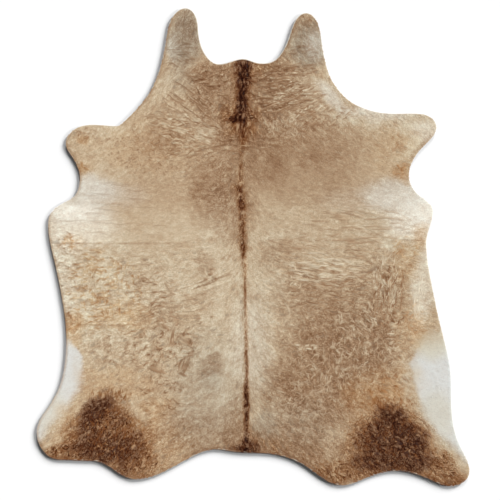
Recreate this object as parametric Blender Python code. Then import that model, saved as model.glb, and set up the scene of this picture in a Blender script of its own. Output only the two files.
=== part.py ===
"""Cowhide rug: one whole hair-on hide, lying flat with its hair side up.

Metres, +Z up. The neck points to +Y, the hind legs to -Y, and the hide's left is at -X. The origin
is the middle of the hide on the surface that it lies on. The flesh side is the flat face at z = 0.
The solid is the skin with its flat-lying hair: thickest along the back, thinner towards the belly
edges, round at the rim, and raised a little along the spine and the skin's folds.
"""

import math
from collections import namedtuple

import bmesh
import bpy
import numpy as np
from mathutils.geometry import delaunay_2d_cdt

# Driving sizes of the whole hide
LENGTH = 2.100          # left neck flap to the end of the right hind leg
WIDTH = 1.900           # across the two hind legs
BACK_THICKNESS = 0.0045     # skin and hair beside the spine
BELLY_THICKNESS = 0.0032    # skin and hair near the belly edges
BACK_HALF_WIDTH = 0.55      # distance from the spine over which the hide thins

# The rim in section, from the flat underside out to the cut edge and in over the hair
FOOT_INSET = 0.0015     # the underside stops this far inside the cut edge
CUT_EDGE_HEIGHT = 0.0012
HAIR_EDGE_INSET = 0.0040
HAIR_EDGE_HEIGHT = 0.0025
NAP_INSET = 0.0150      # full thickness from here inwards

# The low ridge of hair along the spine, and the slow rise and fall of a skin laid out flat
SPINE_RIDGE_WIDTH = 0.034
SPINE_RIDGE_RISE = 0.0009
SWELL_RISE = 0.0003
SWELL_LENGTH = 0.42

# Mesh fineness
RIM_STEP = 0.036        # longest step along the outline
RIM_TURN = math.radians(13)     # most that the outline turns in one step
TOP_GRID = 0.040        # spacing of the points over the hair side
FOLD_STEP = 0.022       # spacing of the points along a fold
FOOT_GRID = 0.260       # spacing of the points under the hide
CROWDED = 0.55          # points closer than this share of their spacing are left out

# Outline marks, clockwise from the left neck flap. across and along are shares of half the width
# and half the length; heading is the way the outline runs there, in degrees from +X towards +Y.
Mark = namedtuple("Mark", "name across along heading")

LEFT_NECK = (
    Mark("left flap tip", -0.313, 1.000, 0),
    Mark("left flap inner top", -0.263, 0.960, -70),
    Mark("left flap inner side", -0.251, 0.881, -81),
    Mark("left neck bend", -0.221, 0.806, -57),
    Mark("left neck bay", -0.158, 0.766, 0),
    Mark("poll left", -0.102, 0.776, 18),
)
RIGHT_NECK = (
    Mark("poll", -0.048, 0.788, 0),
    Mark("poll right", 0.005, 0.775, -19),
    Mark("right neck bay", 0.046, 0.769, 0),
    Mark("right neck bend", 0.113, 0.791, 46),
    Mark("right flap inner side", 0.163, 0.867, 69),
    Mark("right flap inner top", 0.196, 0.947, 61),
    Mark("right flap tip", 0.245, 0.980, 0),
    Mark("right flap outer top", 0.298, 0.939, -68),
    Mark("right flap outer side", 0.316, 0.863, -82),
)
RIGHT_SHOULDER = (
    Mark("right shoulder top", 0.347, 0.733, -72),
    Mark("right shoulder", 0.417, 0.635, -47),
    Mark("right shoulder root", 0.518, 0.579, -21),
)
RIGHT_FORELEG = (
    Mark("right foreleg root", 0.657, 0.558, 0),
    Mark("right foreleg top", 0.778, 0.557, -6),
    Mark("right foreleg tip", 0.847, 0.503, -90),
    Mark("right foreleg under", 0.798, 0.432, -136),
    Mark("right armpit", 0.720, 0.300, -90),
    Mark("right armpit lower", 0.771, 0.213, -37),
)
RIGHT_FLANK = (
    Mark("right flank corner", 0.831, 0.150, -88),
    Mark("right flank dip", 0.800, 0.021, -90),
    Mark("right flank", 0.840, -0.224, -79),
    Mark("right flank lower", 0.904, -0.473, -78),
    Mark("right thigh side", 0.915, -0.620, -90),
)
RIGHT_HIND_LEG = (
    Mark("right shank side", 0.944, -0.808, -69),
    Mark("right shank tip", 1.000, -0.938, -90),
    Mark("right shank end", 0.912, -1.000, 180),
    Mark("right shank under", 0.815, -0.971, 157),
    Mark("right hind bay", 0.664, -0.936, 180),
    Mark("right thigh rise", 0.523, -0.966, -158),
    Mark("right thigh", 0.412, -0.996, 180),
)
BUTT = (
    Mark("right rump", 0.256, -0.924, 145),
    Mark("right butt", 0.042, -0.862, 179),
    Mark("left butt", -0.083, -0.856, 172),
    Mark("butt bay", -0.169, -0.846, -179),
    Mark("left rump", -0.321, -0.896, -151),
)
LEFT_HIND_LEG = (
    Mark("left thigh", -0.543, -0.971, 180),
    Mark("left thigh rise", -0.641, -0.933, 143),
    Mark("left hind bay", -0.750, -0.894, 181),
    Mark("left shank under", -0.875, -0.890, 180),
    Mark("left shank end", -0.958, -0.865, 133),
    Mark("left shank tip", -1.000, -0.777, 90),
    Mark("left shank side", -0.954, -0.680, 54),
)
LEFT_FLANK = (
    Mark("left thigh side", -0.883, -0.553, 76),
    Mark("left flank lower", -0.863, -0.377, 91),
    Mark("left flank", -0.903, -0.117, 101),
    Mark("left flank corner", -0.946, 0.105, 88),
    Mark("left flank top", -0.880, 0.183, 28),
)
LEFT_FORELEG = (
    Mark("left armpit lower", -0.818, 0.221, 59),
    Mark("left armpit", -0.800, 0.293, 92),
    Mark("left foreleg under", -0.840, 0.384, 124),
    Mark("left foreleg tip", -0.865, 0.434, 88),
    Mark("left foreleg top", -0.757, 0.512, 3),
    Mark("left notch", -0.630, 0.507, 0),
)
LEFT_SHOULDER = (
    Mark("left shoulder root", -0.598, 0.524, 42),
    Mark("left shoulder", -0.502, 0.617, 52),
    Mark("left flap outer base", -0.433, 0.739, 73),
    Mark("left flap outer side", -0.400, 0.874, 80),
    Mark("left flap outer top", -0.374, 0.960, 59),
)
OUTLINE = (LEFT_NECK + RIGHT_NECK + RIGHT_SHOULDER + RIGHT_FORELEG + RIGHT_FLANK + RIGHT_HIND_LEG
           + BUTT + LEFT_HIND_LEG + LEFT_FLANK + LEFT_FORELEG + LEFT_SHOULDER)

# The spine's course from the poll to the tail, in the outline's shares
SpineMark = namedtuple("SpineMark", "along across")
SPINE = (
    SpineMark(0.788, -0.046),
    SpineMark(0.658, -0.051),
    SpineMark(0.524, -0.059),
    SpineMark(0.365, -0.054),
    SpineMark(0.113, -0.049),
    SpineMark(-0.096, -0.044),
    SpineMark(-0.410, -0.032),
    SpineMark(-0.858, -0.025),
)

# Folds in the skin. across and along, in the outline's shares, place the middle; slant is in
# degrees from +X towards +Y; length, bow (the middle's sag to the fold's left), width and rise
# are in metres.
Fold = namedtuple("Fold", "name across along slant length bow width rise")

NECK_FOLDS = (
    Fold("left neck", -0.365, 0.573, -23, 0.17, -0.004, 0.020, 0.0014),
    Fold("left nape", -0.201, 0.723, -8, 0.12, -0.005, 0.018, 0.0011),
    Fold("left wither", -0.315, 0.464, -17, 0.12, 0.003, 0.020, 0.0011),
    Fold("withers", -0.181, 0.428, 2, 0.21, 0.004, 0.018, 0.0012),
    Fold("right wither", 0.051, 0.433, 0, 0.11, -0.003, 0.018, 0.0011),
    Fold("right nape line", 0.037, 0.600, 4, 0.11, -0.002, 0.016, 0.0010),
    Fold("right nape", 0.085, 0.706, 8, 0.07, 0.002, 0.018, 0.0012),
    Fold("right neck bend", 0.168, 0.805, 14, 0.08, -0.002, 0.018, 0.0011),
    Fold("right flap base", 0.275, 0.781, 12, 0.10, 0.003, 0.020, 0.0014),
    Fold("right flap", 0.250, 0.653, 18, 0.11, -0.003, 0.020, 0.0014),
    Fold("right shoulder", 0.403, 0.570, 43, 0.10, -0.006, 0.020, 0.0014),
)
FLANK_FOLDS = (
    Fold("left armpit", -0.688, 0.187, -3, 0.28, -0.003, 0.018, 0.0009),
    Fold("left flank", -0.606, 0.015, 0, 0.58, 0.002, 0.018, 0.0009),
    Fold("left flank edge", -0.845, -0.074, -2, 0.09, 0.002, 0.016, 0.0008),
    Fold("left lower flank", -0.667, -0.324, 1, 0.24, -0.003, 0.020, 0.0012),
    Fold("left hip outer", -0.191, -0.180, 22, 0.24, 0.005, 0.018, 0.0010),
    Fold("left hip tail", -0.442, -0.269, 8, 0.17, -0.003, 0.018, 0.0009),
    Fold("right armpit", 0.616, 0.133, -9, 0.22, -0.008, 0.020, 0.0012),
    Fold("right side", 0.456, 0.066, -8, 0.19, 0.004, 0.018, 0.0010),
    Fold("right flank edge", 0.735, 0.065, 2, 0.10, 0.000, 0.018, 0.0012),
    Fold("right belly", 0.414, -0.040, 4, 0.12, 0.003, 0.018, 0.0010),
    Fold("navel", 0.843, -0.580, -78, 0.13, 0.005, 0.020, 0.0010),
)
FOLDS = NECK_FOLDS + FLANK_FOLDS

# Hair-side colour, as the mean of the taupe and cream coat
COAT_COLOUR = (0.45, 0.34, 0.23, 1.0)
COAT_ROUGHNESS = 0.75


def remove_scene_objects():
    for item in list(bpy.data.objects):
        bpy.data.objects.remove(item, do_unlink=True)


def in_metres(across, along):
    return np.array([across * WIDTH / 2, along * LENGTH / 2])


def outline_stretch(here, there):
    """Points from one mark up to the next, on a curve that keeps both headings and nears an arc."""
    start = in_metres(here.across, here.along)
    end = in_metres(there.across, there.along)
    start_heading = math.radians(here.heading)
    end_heading = math.radians(there.heading)
    turn = (end_heading - start_heading + math.pi) % (2 * math.pi) - math.pi
    chord = np.linalg.norm(end - start)
    pull = chord / math.cos(turn / 4) ** 2
    leave = pull * np.array([math.cos(start_heading), math.sin(start_heading)])
    arrive = pull * np.array([math.cos(end_heading), math.sin(end_heading)])
    steps = max(2, math.ceil(chord / RIM_STEP), math.ceil(abs(turn) / RIM_TURN))
    t = np.arange(steps)[:, None] / steps
    return ((2 * t**3 - 3 * t**2 + 1) * start + (t**3 - 2 * t**2 + t) * leave
            + (3 * t**2 - 2 * t**3) * end + (t**3 - t**2) * arrive)


def outline_points():
    """The cut edge as a closed ring, counterclockwise as seen from above."""
    stretches = []
    for index, mark in enumerate(OUTLINE):
        stretches.append(outline_stretch(mark, OUTLINE[(index + 1) % len(OUTLINE)]))
    return np.vstack(stretches)[::-1]


def inset_ring(ring, inset):
    """The ring moved inwards, square to its own run."""
    run = np.roll(ring, -1, axis=0) - np.roll(ring, 1, axis=0)
    run /= np.linalg.norm(run, axis=1)[:, None]
    inwards = np.column_stack([-run[:, 1], run[:, 0]])
    return ring + inset * inwards


def spine_across(y):
    """Where the spine lies, in metres across, at each y."""
    along = np.array([mark.along for mark in reversed(SPINE)]) * LENGTH / 2
    across = np.array([mark.across for mark in reversed(SPINE)]) * WIDTH / 2
    return np.interp(y, along, across)


def fold_frame(fold):
    """A fold's middle, the direction it runs in and the direction to its left."""
    slant = math.radians(fold.slant)
    run = np.array([math.cos(slant), math.sin(slant)])
    left = np.array([-run[1], run[0]])
    return in_metres(fold.across, fold.along), run, left


def fold_rise(fold, points):
    """How much one fold lifts the hair side at each point: a ridge that dies out at its ends."""
    middle, run, left = fold_frame(fold)
    place = points - middle
    reach = (place @ run) / (fold.length / 2)
    arch = np.clip(1 - reach**2, 0, 1)
    offset = place @ left - fold.bow * arch
    return fold.rise * np.sqrt(arch) * np.clip(1 - np.abs(offset) / (fold.width / 2), 0, 1)


def hair_side_height(points):
    """Height of the hair side over the flat underside, away from the rounded rim."""
    x = points[:, 0]
    y = points[:, 1]
    from_spine = x - spine_across(y)
    back = np.exp(-(from_spine / BACK_HALF_WIDTH) ** 2)
    height = BELLY_THICKNESS + (BACK_THICKNESS - BELLY_THICKNESS) * back
    turn = 2 * math.pi / SWELL_LENGTH
    height += SWELL_RISE * np.sin(turn * (x + 0.4 * y)) * np.sin(turn * (0.8 * y - 0.3 * x))
    height += SPINE_RIDGE_RISE * np.clip(1 - np.abs(from_spine) / (SPINE_RIDGE_WIDTH / 2), 0, 1)
    for fold in FOLDS:
        height += fold_rise(fold, points)
    return height


def inside_ring(points, ring):
    """Which points lie inside the ring, by counting the ring's crossings to their right."""
    x = points[:, 0][:, None]
    y = points[:, 1][:, None]
    start = ring
    end = np.roll(ring, -1, axis=0)
    straddles = (start[:, 1] > y) != (end[:, 1] > y)
    rise = end[:, 1] - start[:, 1]
    rise = np.where(rise == 0, 1e-12, rise)
    crossing = start[:, 0] + (y - start[:, 1]) / rise * (end[:, 0] - start[:, 0])
    return (straddles & (x < crossing)).sum(axis=1) % 2 == 1


def clear_of(points, others, gap):
    """The points that lie at least gap away from all the others."""
    offsets = points[:, None, :] - others[None, :, :]
    nearest = np.sqrt((offsets**2).sum(axis=2)).min(axis=1)
    return points[nearest >= gap]


def staggered_grid(spacing):
    """Rows of evenly spaced points over the hide's box, each row shifted by half a step."""
    row_gap = spacing * math.sqrt(3) / 2
    rows = []
    for row, y in enumerate(np.arange(-LENGTH / 2, LENGTH / 2, row_gap)):
        xs = np.arange(-WIDTH / 2, WIDTH / 2, spacing) + spacing / 2 * (row % 2)
        rows.append(np.column_stack([xs, np.full(len(xs), y)]))
    return np.vstack(rows)


def ridge_rows(centre, left, half_width):
    """Three rows of points: along a ridge's foot, its crest and its other foot."""
    return [centre - half_width * left, centre, centre + half_width * left]


def ridge_points():
    """Points along the spine and every fold, so that the mesh follows their crests and feet."""
    y = np.arange(SPINE[-1].along * LENGTH / 2, SPINE[0].along * LENGTH / 2, 1.5 * FOLD_STEP)
    spine = np.column_stack([spine_across(y), y])
    placed = np.vstack(ridge_rows(spine, np.array([-1.0, 0.0]), SPINE_RIDGE_WIDTH / 2))
    for fold in FOLDS:
        middle, run, left = fold_frame(fold)
        count = max(3, round(fold.length / FOLD_STEP))
        reach = np.linspace(-1, 1, count)[:, None]
        centre = middle + reach * fold.length / 2 * run + fold.bow * (1 - reach**2) * left
        rows = np.vstack(ridge_rows(centre, left, fold.width / 2))
        placed = np.vstack([placed, clear_of(rows, placed, CROWDED * fold.width / 2)])
    return placed


def top_points(rim):
    """All the points of the hair side inside the rim."""
    ridges = ridge_points()
    ridges = clear_of(ridges[inside_ring(ridges, rim)], rim, CROWDED * NAP_INSET)
    grid = staggered_grid(TOP_GRID)
    grid = clear_of(grid[inside_ring(grid, rim)], rim, CROWDED * TOP_GRID)
    grid = clear_of(grid, ridges, CROWDED * TOP_GRID)
    return np.vstack([ridges, grid])


def foot_points(rim):
    """A few points under the hide, so that its underside has no needle-thin faces."""
    grid = staggered_grid(FOOT_GRID)
    return clear_of(grid[inside_ring(grid, rim)], rim, CROWDED * FOOT_GRID / 2)


def add_level_ring(mesh, ring, height):
    return [mesh.verts.new((x, y, height)) for x, y in ring]


def join_rings(mesh, lower, upper):
    """A strip of faces between two rings of equal count."""
    for index in range(len(lower)):
        following = (index + 1) % len(lower)
        mesh.faces.new((lower[index], lower[following], upper[following], upper[index]))


def fill_ring(mesh, ring_verts, inner_verts, facing_up):
    """Triangles over the ring and the points inside it."""
    verts = ring_verts + inner_verts
    places = [vert.co.to_2d() for vert in verts]
    border = [list(range(len(ring_verts)))]
    filled = delaunay_2d_cdt(places, [], border, 1, 1e-7)
    origins = filled[3]
    for face in filled[2]:
        corners = [verts[origins[index][0]] for index in face]
        mesh.faces.new(corners if facing_up else reversed(corners))


def make_hide_mesh():
    cut_edge = outline_points()
    foot = inset_ring(cut_edge, FOOT_INSET)
    hair_edge = inset_ring(cut_edge, HAIR_EDGE_INSET)
    nap = inset_ring(cut_edge, NAP_INSET)
    inner_top = top_points(nap)
    inner_foot = foot_points(foot)

    mesh = bmesh.new()
    foot_verts = add_level_ring(mesh, foot, 0.0)
    cut_verts = add_level_ring(mesh, cut_edge, CUT_EDGE_HEIGHT)
    hair_verts = add_level_ring(mesh, hair_edge, HAIR_EDGE_HEIGHT)
    nap_verts = [mesh.verts.new((*place, height))
                 for place, height in zip(nap, hair_side_height(nap))]
    top_verts = [mesh.verts.new((*place, height))
                 for place, height in zip(inner_top, hair_side_height(inner_top))]
    under_verts = add_level_ring(mesh, inner_foot, 0.0)

    join_rings(mesh, foot_verts, cut_verts)
    join_rings(mesh, cut_verts, hair_verts)
    join_rings(mesh, hair_verts, nap_verts)
    fill_ring(mesh, nap_verts, top_verts, facing_up=True)
    fill_ring(mesh, foot_verts, under_verts, facing_up=False)
    bmesh.ops.triangulate(mesh, faces=[face for face in mesh.faces if len(face.verts) > 3])

    data = bpy.data.meshes.new("hide")
    mesh.to_mesh(data)
    mesh.free()
    return data


def coat_material():
    material = bpy.data.materials.new("hair-on hide")
    material.use_nodes = True
    shader = material.node_tree.nodes["Principled BSDF"]
    shader.inputs["Base Color"].default_value = COAT_COLOUR
    shader.inputs["Roughness"].default_value = COAT_ROUGHNESS
    shader.inputs["Metallic"].default_value = 0.0
    return material


def build_hide():
    data = make_hide_mesh()
    data.materials.append(coat_material())
    data.shade_smooth()
    data.set_sharp_from_angle(angle=math.radians(35))
    hide = bpy.data.objects.new("hide", data)
    bpy.context.collection.objects.link(hide)


remove_scene_objects()
build_hide()
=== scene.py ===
"""Cowhide rug: the skin, its flat-lying hair and its natural markings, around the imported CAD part.

Metres, in the CAD's frame: +Z up, the neck points to +Y and the hide's left is at -X. The skin is a
thin closed sheet with the CAD outline, spine ridge and folds. The hair lies on it as some 315,000
small pointed locks, in five pieces from the neck to the haunches, and some 8,000 curls and wrinkles
lie over them as a sixth. The coat's markings are worked out as masks on a fine grid over the hide,
and every lock and curl reads them along its length.
"""

import math
from collections import namedtuple

import bmesh
import bpy
import numpy as np
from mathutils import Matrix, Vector
from mathutils.geometry import delaunay_2d_cdt


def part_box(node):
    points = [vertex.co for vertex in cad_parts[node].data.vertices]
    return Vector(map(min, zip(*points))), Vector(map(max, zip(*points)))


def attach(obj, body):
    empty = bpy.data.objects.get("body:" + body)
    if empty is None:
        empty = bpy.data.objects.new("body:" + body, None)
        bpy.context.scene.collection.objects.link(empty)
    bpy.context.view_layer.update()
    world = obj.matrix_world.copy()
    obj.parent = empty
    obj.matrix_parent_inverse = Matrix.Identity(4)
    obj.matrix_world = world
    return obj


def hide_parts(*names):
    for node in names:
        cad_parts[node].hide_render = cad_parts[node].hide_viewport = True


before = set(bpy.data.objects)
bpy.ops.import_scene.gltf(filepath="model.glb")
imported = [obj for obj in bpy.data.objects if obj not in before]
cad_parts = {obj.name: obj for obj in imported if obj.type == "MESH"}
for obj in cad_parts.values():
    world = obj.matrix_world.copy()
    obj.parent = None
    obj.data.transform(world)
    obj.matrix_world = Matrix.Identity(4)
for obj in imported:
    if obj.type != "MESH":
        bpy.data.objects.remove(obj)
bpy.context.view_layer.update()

# Driving sizes, from the CAD part
HIDE_LOW, HIDE_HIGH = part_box("hide")
HALF_WIDTH = (HIDE_HIGH.x - HIDE_LOW.x) / 2
HALF_LENGTH = (HIDE_HIGH.y - HIDE_LOW.y) / 2
BACK_THICKNESS = 0.0045     # skin and hair beside the spine
BELLY_THICKNESS = 0.0032    # skin and hair near the belly edges
BACK_HALF_WIDTH = 0.55      # distance from the spine over which the hide thins
SPINE_RIDGE_WIDTH = 0.034
SPINE_RIDGE_RISE = 0.0009
SWELL_RISE = 0.0003         # a faint swell all over the hide
SWELL_LENGTH = 0.42
SWELL_SKEW, SWELL_STEEP, SWELL_LEAN = 0.4, 0.8, 0.3     # how its two waves run across the hide

# The skin under the hair
HAIR_DEPTH = 0.0014         # how far the skin lies under the hair's surface
CUT_EDGE_HEIGHT = 0.0015
FOOT_INSET = 0.0015         # the skin's edge slopes in by this down to the floor
GRAIN_EDGE_INSET = 0.0030
GRAIN_EDGE_HEIGHT = 0.0018
RIM_TAPER = 0.0500          # the skin thins to the cut edge over this distance
NAP_INSET = 0.0140          # from here inwards the skin is filled with a grid
RIM_STEP = 0.0080
SKIN_GRID = 0.0081
FOOT_GRID = 0.1300
GRID_CLEARANCE = 0.6        # steps of the grid that it stays away from its rim
FACING_UP = 0.5             # faces whose normals rise by more than this face up
RIM_TURN = math.radians(8)
SMOOTH_EDGE = math.radians(50)      # edges that turn more than this stay sharp

# The hair: one lock is a pointed tuft of hairs that lie together
LOCK_LENGTH = 0.0085
LOCK_WIDTH = 0.0034
LOCK_WIDEST = 0.36          # where along its length
LOCK_BEND = 0.00030         # how far its widest part stands over the line from root to tip
LOCK_GAP = 0.0021           # between the roots of neighbouring locks
LOCK_POINTS = 4
LOCKS_TRIED = 2.2           # places tried in the square of a gap, before near ones are dropped
LOCK_LIFT = math.radians(3.5)
LIFT_SPREAD = math.radians(2)
YAW_SPREAD = math.radians(9)
ROLL_SPREAD = math.radians(6)
LENGTH_SHARES = (0.75, 1.2)     # the locks' sizes differ between these shares
WIDTH_SHARES = (0.8, 1.2)
SHORTEST_LOCK = 0.28        # share of the full length, at the cut edge
STEEPEST_EXIT = 0.12        # least share of a lock's length that counts as towards the cut edge
EDGE_OVERHANG = 0.0028      # how far the hair reaches past the cut edge
BANDS = ("neck_hair", "shoulder_hair", "flank_hair", "loin_hair", "haunch_hair")
HAIR_SEED = 20
COLOUR_SEED = 40

# Curls, tufts and wrinkles that stand out of the hair: ribbons laid over it, arched across
CURL_STEPS = 6              # points along each
CURL_REST = 0.0011          # how far they lie over the skin
CURL_DIP = 0.0005           # how far their ends dip into the hair
CURL_ARCH = math.radians(40)        # how far an arch turns from side to side
CURL_CLEARANCE = 0.0030     # from the cut edge
FAINTEST_CURL = 0.08        # weaker ones aren't made
CURL_SHADES = (0.3, 0.7)    # between the lightest tuft, 0, and the darkest, 1
CURL_SEED = 61

LIGHT_TURN = math.radians(45)       # where the light comes from, from +X towards +Y

# The photograph's scale. The markings below are placed by its pixels.
PHOTO_PIXEL = 2 * HALF_WIDTH / 432      # metres of hide in one pixel
PHOTO_MIDDLE_X = 253.0
PHOTO_MIDDLE_Y = 247.05
PHOTO_SIDE = 500


def table(columns, rows):
    """Rows whose values go by the names of their columns."""
    kind = namedtuple("Row", columns)
    return tuple(kind(*row) for row in rows)


# Outline marks, clockwise from the left neck flap, as in the CAD part. across and along are shares
# of half the width and half the length; heading is in degrees from +X towards +Y.
OUTLINE = table("name across along heading", (
    ("left flap tip", -0.313, 1.000, 0),
    ("left flap inner top", -0.263, 0.960, -70),
    ("left flap inner side", -0.251, 0.881, -81),
    ("left neck bend", -0.221, 0.806, -57),
    ("left neck bay", -0.158, 0.766, 0),
    ("poll left", -0.102, 0.776, 18),
    ("poll", -0.048, 0.788, 0),
    ("poll right", 0.005, 0.775, -19),
    ("right neck bay", 0.046, 0.769, 0),
    ("right neck bend", 0.113, 0.791, 46),
    ("right flap inner side", 0.163, 0.867, 69),
    ("right flap inner top", 0.196, 0.947, 61),
    ("right flap tip", 0.245, 0.980, 0),
    ("right flap outer top", 0.298, 0.939, -68),
    ("right flap outer side", 0.316, 0.863, -82),
    ("right shoulder top", 0.347, 0.733, -72),
    ("right shoulder", 0.417, 0.635, -47),
    ("right shoulder root", 0.518, 0.579, -21),
    ("right foreleg root", 0.657, 0.558, 0),
    ("right foreleg top", 0.778, 0.557, -6),
    ("right foreleg tip", 0.847, 0.503, -90),
    ("right foreleg under", 0.798, 0.432, -136),
    ("right armpit", 0.720, 0.300, -90),
    ("right armpit lower", 0.771, 0.213, -37),
    ("right flank corner", 0.831, 0.150, -88),
    ("right flank dip", 0.800, 0.021, -90),
    ("right flank", 0.840, -0.224, -79),
    ("right flank lower", 0.904, -0.473, -78),
    ("right thigh side", 0.915, -0.620, -90),
    ("right shank side", 0.944, -0.808, -69),
    ("right shank tip", 1.000, -0.938, -90),
    ("right shank end", 0.912, -1.000, 180),
    ("right shank under", 0.815, -0.971, 157),
    ("right hind bay", 0.664, -0.936, 180),
    ("right thigh rise", 0.523, -0.966, -158),
    ("right thigh", 0.412, -0.996, 180),
    ("right rump", 0.256, -0.924, 145),
    ("right butt", 0.042, -0.862, 179),
    ("left butt", -0.083, -0.856, 172),
    ("butt bay", -0.169, -0.846, -179),
    ("left rump", -0.321, -0.896, -151),
    ("left thigh", -0.543, -0.971, 180),
    ("left thigh rise", -0.641, -0.933, 143),
    ("left hind bay", -0.750, -0.894, 181),
    ("left shank under", -0.875, -0.890, 180),
    ("left shank end", -0.958, -0.865, 133),
    ("left shank tip", -1.000, -0.777, 90),
    ("left shank side", -0.954, -0.680, 54),
    ("left thigh side", -0.883, -0.553, 76),
    ("left flank lower", -0.863, -0.377, 91),
    ("left flank", -0.903, -0.117, 101),
    ("left flank corner", -0.946, 0.105, 88),
    ("left flank top", -0.880, 0.183, 28),
    ("left armpit lower", -0.818, 0.221, 59),
    ("left armpit", -0.800, 0.293, 92),
    ("left foreleg under", -0.840, 0.384, 124),
    ("left foreleg tip", -0.865, 0.434, 88),
    ("left foreleg top", -0.757, 0.512, 3),
    ("left notch", -0.630, 0.507, 0),
    ("left shoulder root", -0.598, 0.524, 42),
    ("left shoulder", -0.502, 0.617, 52),
    ("left flap outer base", -0.433, 0.739, 73),
    ("left flap outer side", -0.400, 0.874, 80),
    ("left flap outer top", -0.374, 0.960, 59),
))

# The spine's course from the poll to the tail, in the outline's shares
SPINE = table("along across", (
    (0.788, -0.046),
    (0.658, -0.051),
    (0.524, -0.059),
    (0.365, -0.054),
    (0.113, -0.049),
    (-0.096, -0.044),
    (-0.410, -0.032),
    (-0.858, -0.025),
))

# Folds in the skin, as in the CAD part. across and along place the middle; slant is in degrees
# from +X towards +Y; length, bow, width and rise are in metres. shade is how dark the painted shade
# in it looks.
FOLDS = table("name across along slant length bow width rise shade", (
    ("left neck", -0.365, 0.573, -23, 0.17, -0.004, 0.020, 0.0014, 0.9),
    ("left nape", -0.201, 0.723, -8, 0.12, -0.005, 0.018, 0.0011, 0.6),
    ("left wither", -0.315, 0.464, -17, 0.12, 0.003, 0.020, 0.0011, 0.5),
    ("withers", -0.181, 0.428, 2, 0.21, 0.004, 0.018, 0.0012, 1.0),
    ("right wither", 0.051, 0.433, 0, 0.11, -0.003, 0.018, 0.0011, 0.5),
    ("right nape line", 0.037, 0.600, 4, 0.11, -0.002, 0.016, 0.0010, 0.4),
    ("right nape", 0.085, 0.706, 8, 0.07, 0.002, 0.018, 0.0012, 0.5),
    ("right neck bend", 0.168, 0.805, 14, 0.08, -0.002, 0.018, 0.0011, 0.4),
    ("right flap base", 0.275, 0.781, 12, 0.10, 0.003, 0.020, 0.0014, 0.6),
    ("right flap", 0.250, 0.653, 18, 0.11, -0.003, 0.020, 0.0014, 0.7),
    ("right shoulder", 0.403, 0.570, 43, 0.10, -0.006, 0.020, 0.0014, 0.5),
    ("left armpit", -0.688, 0.187, -3, 0.28, -0.003, 0.018, 0.0009, 0.5),
    ("left flank", -0.606, 0.015, 0, 0.58, 0.002, 0.018, 0.0009, 0.9),
    ("left flank edge", -0.845, -0.074, -2, 0.09, 0.002, 0.016, 0.0008, 0.5),
    ("left lower flank", -0.667, -0.324, 1, 0.24, -0.003, 0.020, 0.0012, 1.0),
    ("left hip outer", -0.191, -0.180, 22, 0.24, 0.005, 0.018, 0.0010, 0.7),
    ("left hip tail", -0.442, -0.269, 8, 0.17, -0.003, 0.018, 0.0009, 0.7),
    ("right armpit", 0.616, 0.133, -9, 0.22, -0.008, 0.020, 0.0012, 0.7),
    ("right side", 0.456, 0.066, -8, 0.19, 0.004, 0.018, 0.0010, 0.4),
    ("right flank edge", 0.735, 0.065, 2, 0.10, 0.000, 0.018, 0.0012, 0.9),
    ("right belly", 0.414, -0.040, 4, 0.12, 0.003, 0.018, 0.0010, 0.4),
    ("navel", 0.843, -0.580, -78, 0.13, 0.005, 0.020, 0.0010, 0.15),
))

# How the hair lies: degrees that it turns outwards from straight towards the tail, at each height
LIES = table("photo_y turn", (
    (0, 30),
    (60, 34),
    (110, 46),
    (160, 68),
    (220, 84),
    (300, 82),
    (380, 62),
    (440, 48),
    (500, 42),
))
PARTING_REACH = 45 * PHOTO_PIXEL    # the hair has turned fully this far from the spine
WHORL_X, WHORL_Y, WHORL_REACH, WHORL_CORE = 240.5, 160.0, 13.0, 0.5     # photo pixels
SWAY_TURN = 12              # degrees by which its lie sways from place to place
RUFFLE_TURN = 110           # and by which it turns where it is ruffled

# A patch of the coat, in photo pixels. soft is the share of its reach over which its edge fades,
# and slant is in degrees from right towards up.
Patch = namedtuple("Patch", "place photo_x photo_y reach_x reach_y strength soft slant",
                   defaults=(0.6, 0))


def patches(*rows):
    return tuple(Patch(*row) for row in rows)


# Where the hair is ruffled, where it lies smooth, and where its locks differ most in turn and tone
RUFFLED = patches(
    ("right flank", 340, 345, 64, 64, 1.0, 0.35),
    ("right flank edge", 395, 270, 22, 38, 0.8, 0.4),
    ("left hip", 185, 345, 50, 34, 0.6, 0.5),
    ("left shoulder fan", 190, 130, 25, 18, 0.6, 0.5, -20),
    ("nape", 285, 128, 34, 12, 0.5, 0.5),
)
SMOOTH = patches(
    ("left centre", 140, 222, 84, 30, 0.60, 0.5),
    ("right centre", 300, 235, 50, 26, 0.35),
    ("right top", 390, 228, 36, 18, 0.40),
    ("left shoulder low", 145, 176, 64, 24, 0.45),
    ("left shoulder", 122, 140, 46, 26, 0.28),
    ("right shoulder", 330, 170, 74, 40, 0.55),
    ("right withers", 270, 186, 26, 30, 0.35),
    ("left loin", 110, 386, 44, 16, 0.20),
)
LIVELY = patches(
    ("left flank", 112, 310, 60, 48, 0.34),
    ("left flank edge", 62, 262, 20, 26, 0.40),
    ("left hip", 176, 342, 36, 30, 0.24),
    ("right flank edge", 380, 300, 26, 40, 0.34),
    ("left haunch right", 172, 446, 24, 16, 0.50),
)

# Strokes strewn over a patch: how many, and their length and width in photo pixels. turn is their
# direction and spread its scatter, in degrees. A wrinkle has a line of painted shade and a side of
# painted light; the others are tufts of hair in their own tone.
Strokes = namedtuple("Strokes", "place photo_x photo_y reach_x reach_y count turn spread length "
                     "strength width slant", defaults=(1.0, 0))


def strokes(*rows):
    return tuple(Strokes(*row) for row in rows)


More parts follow.
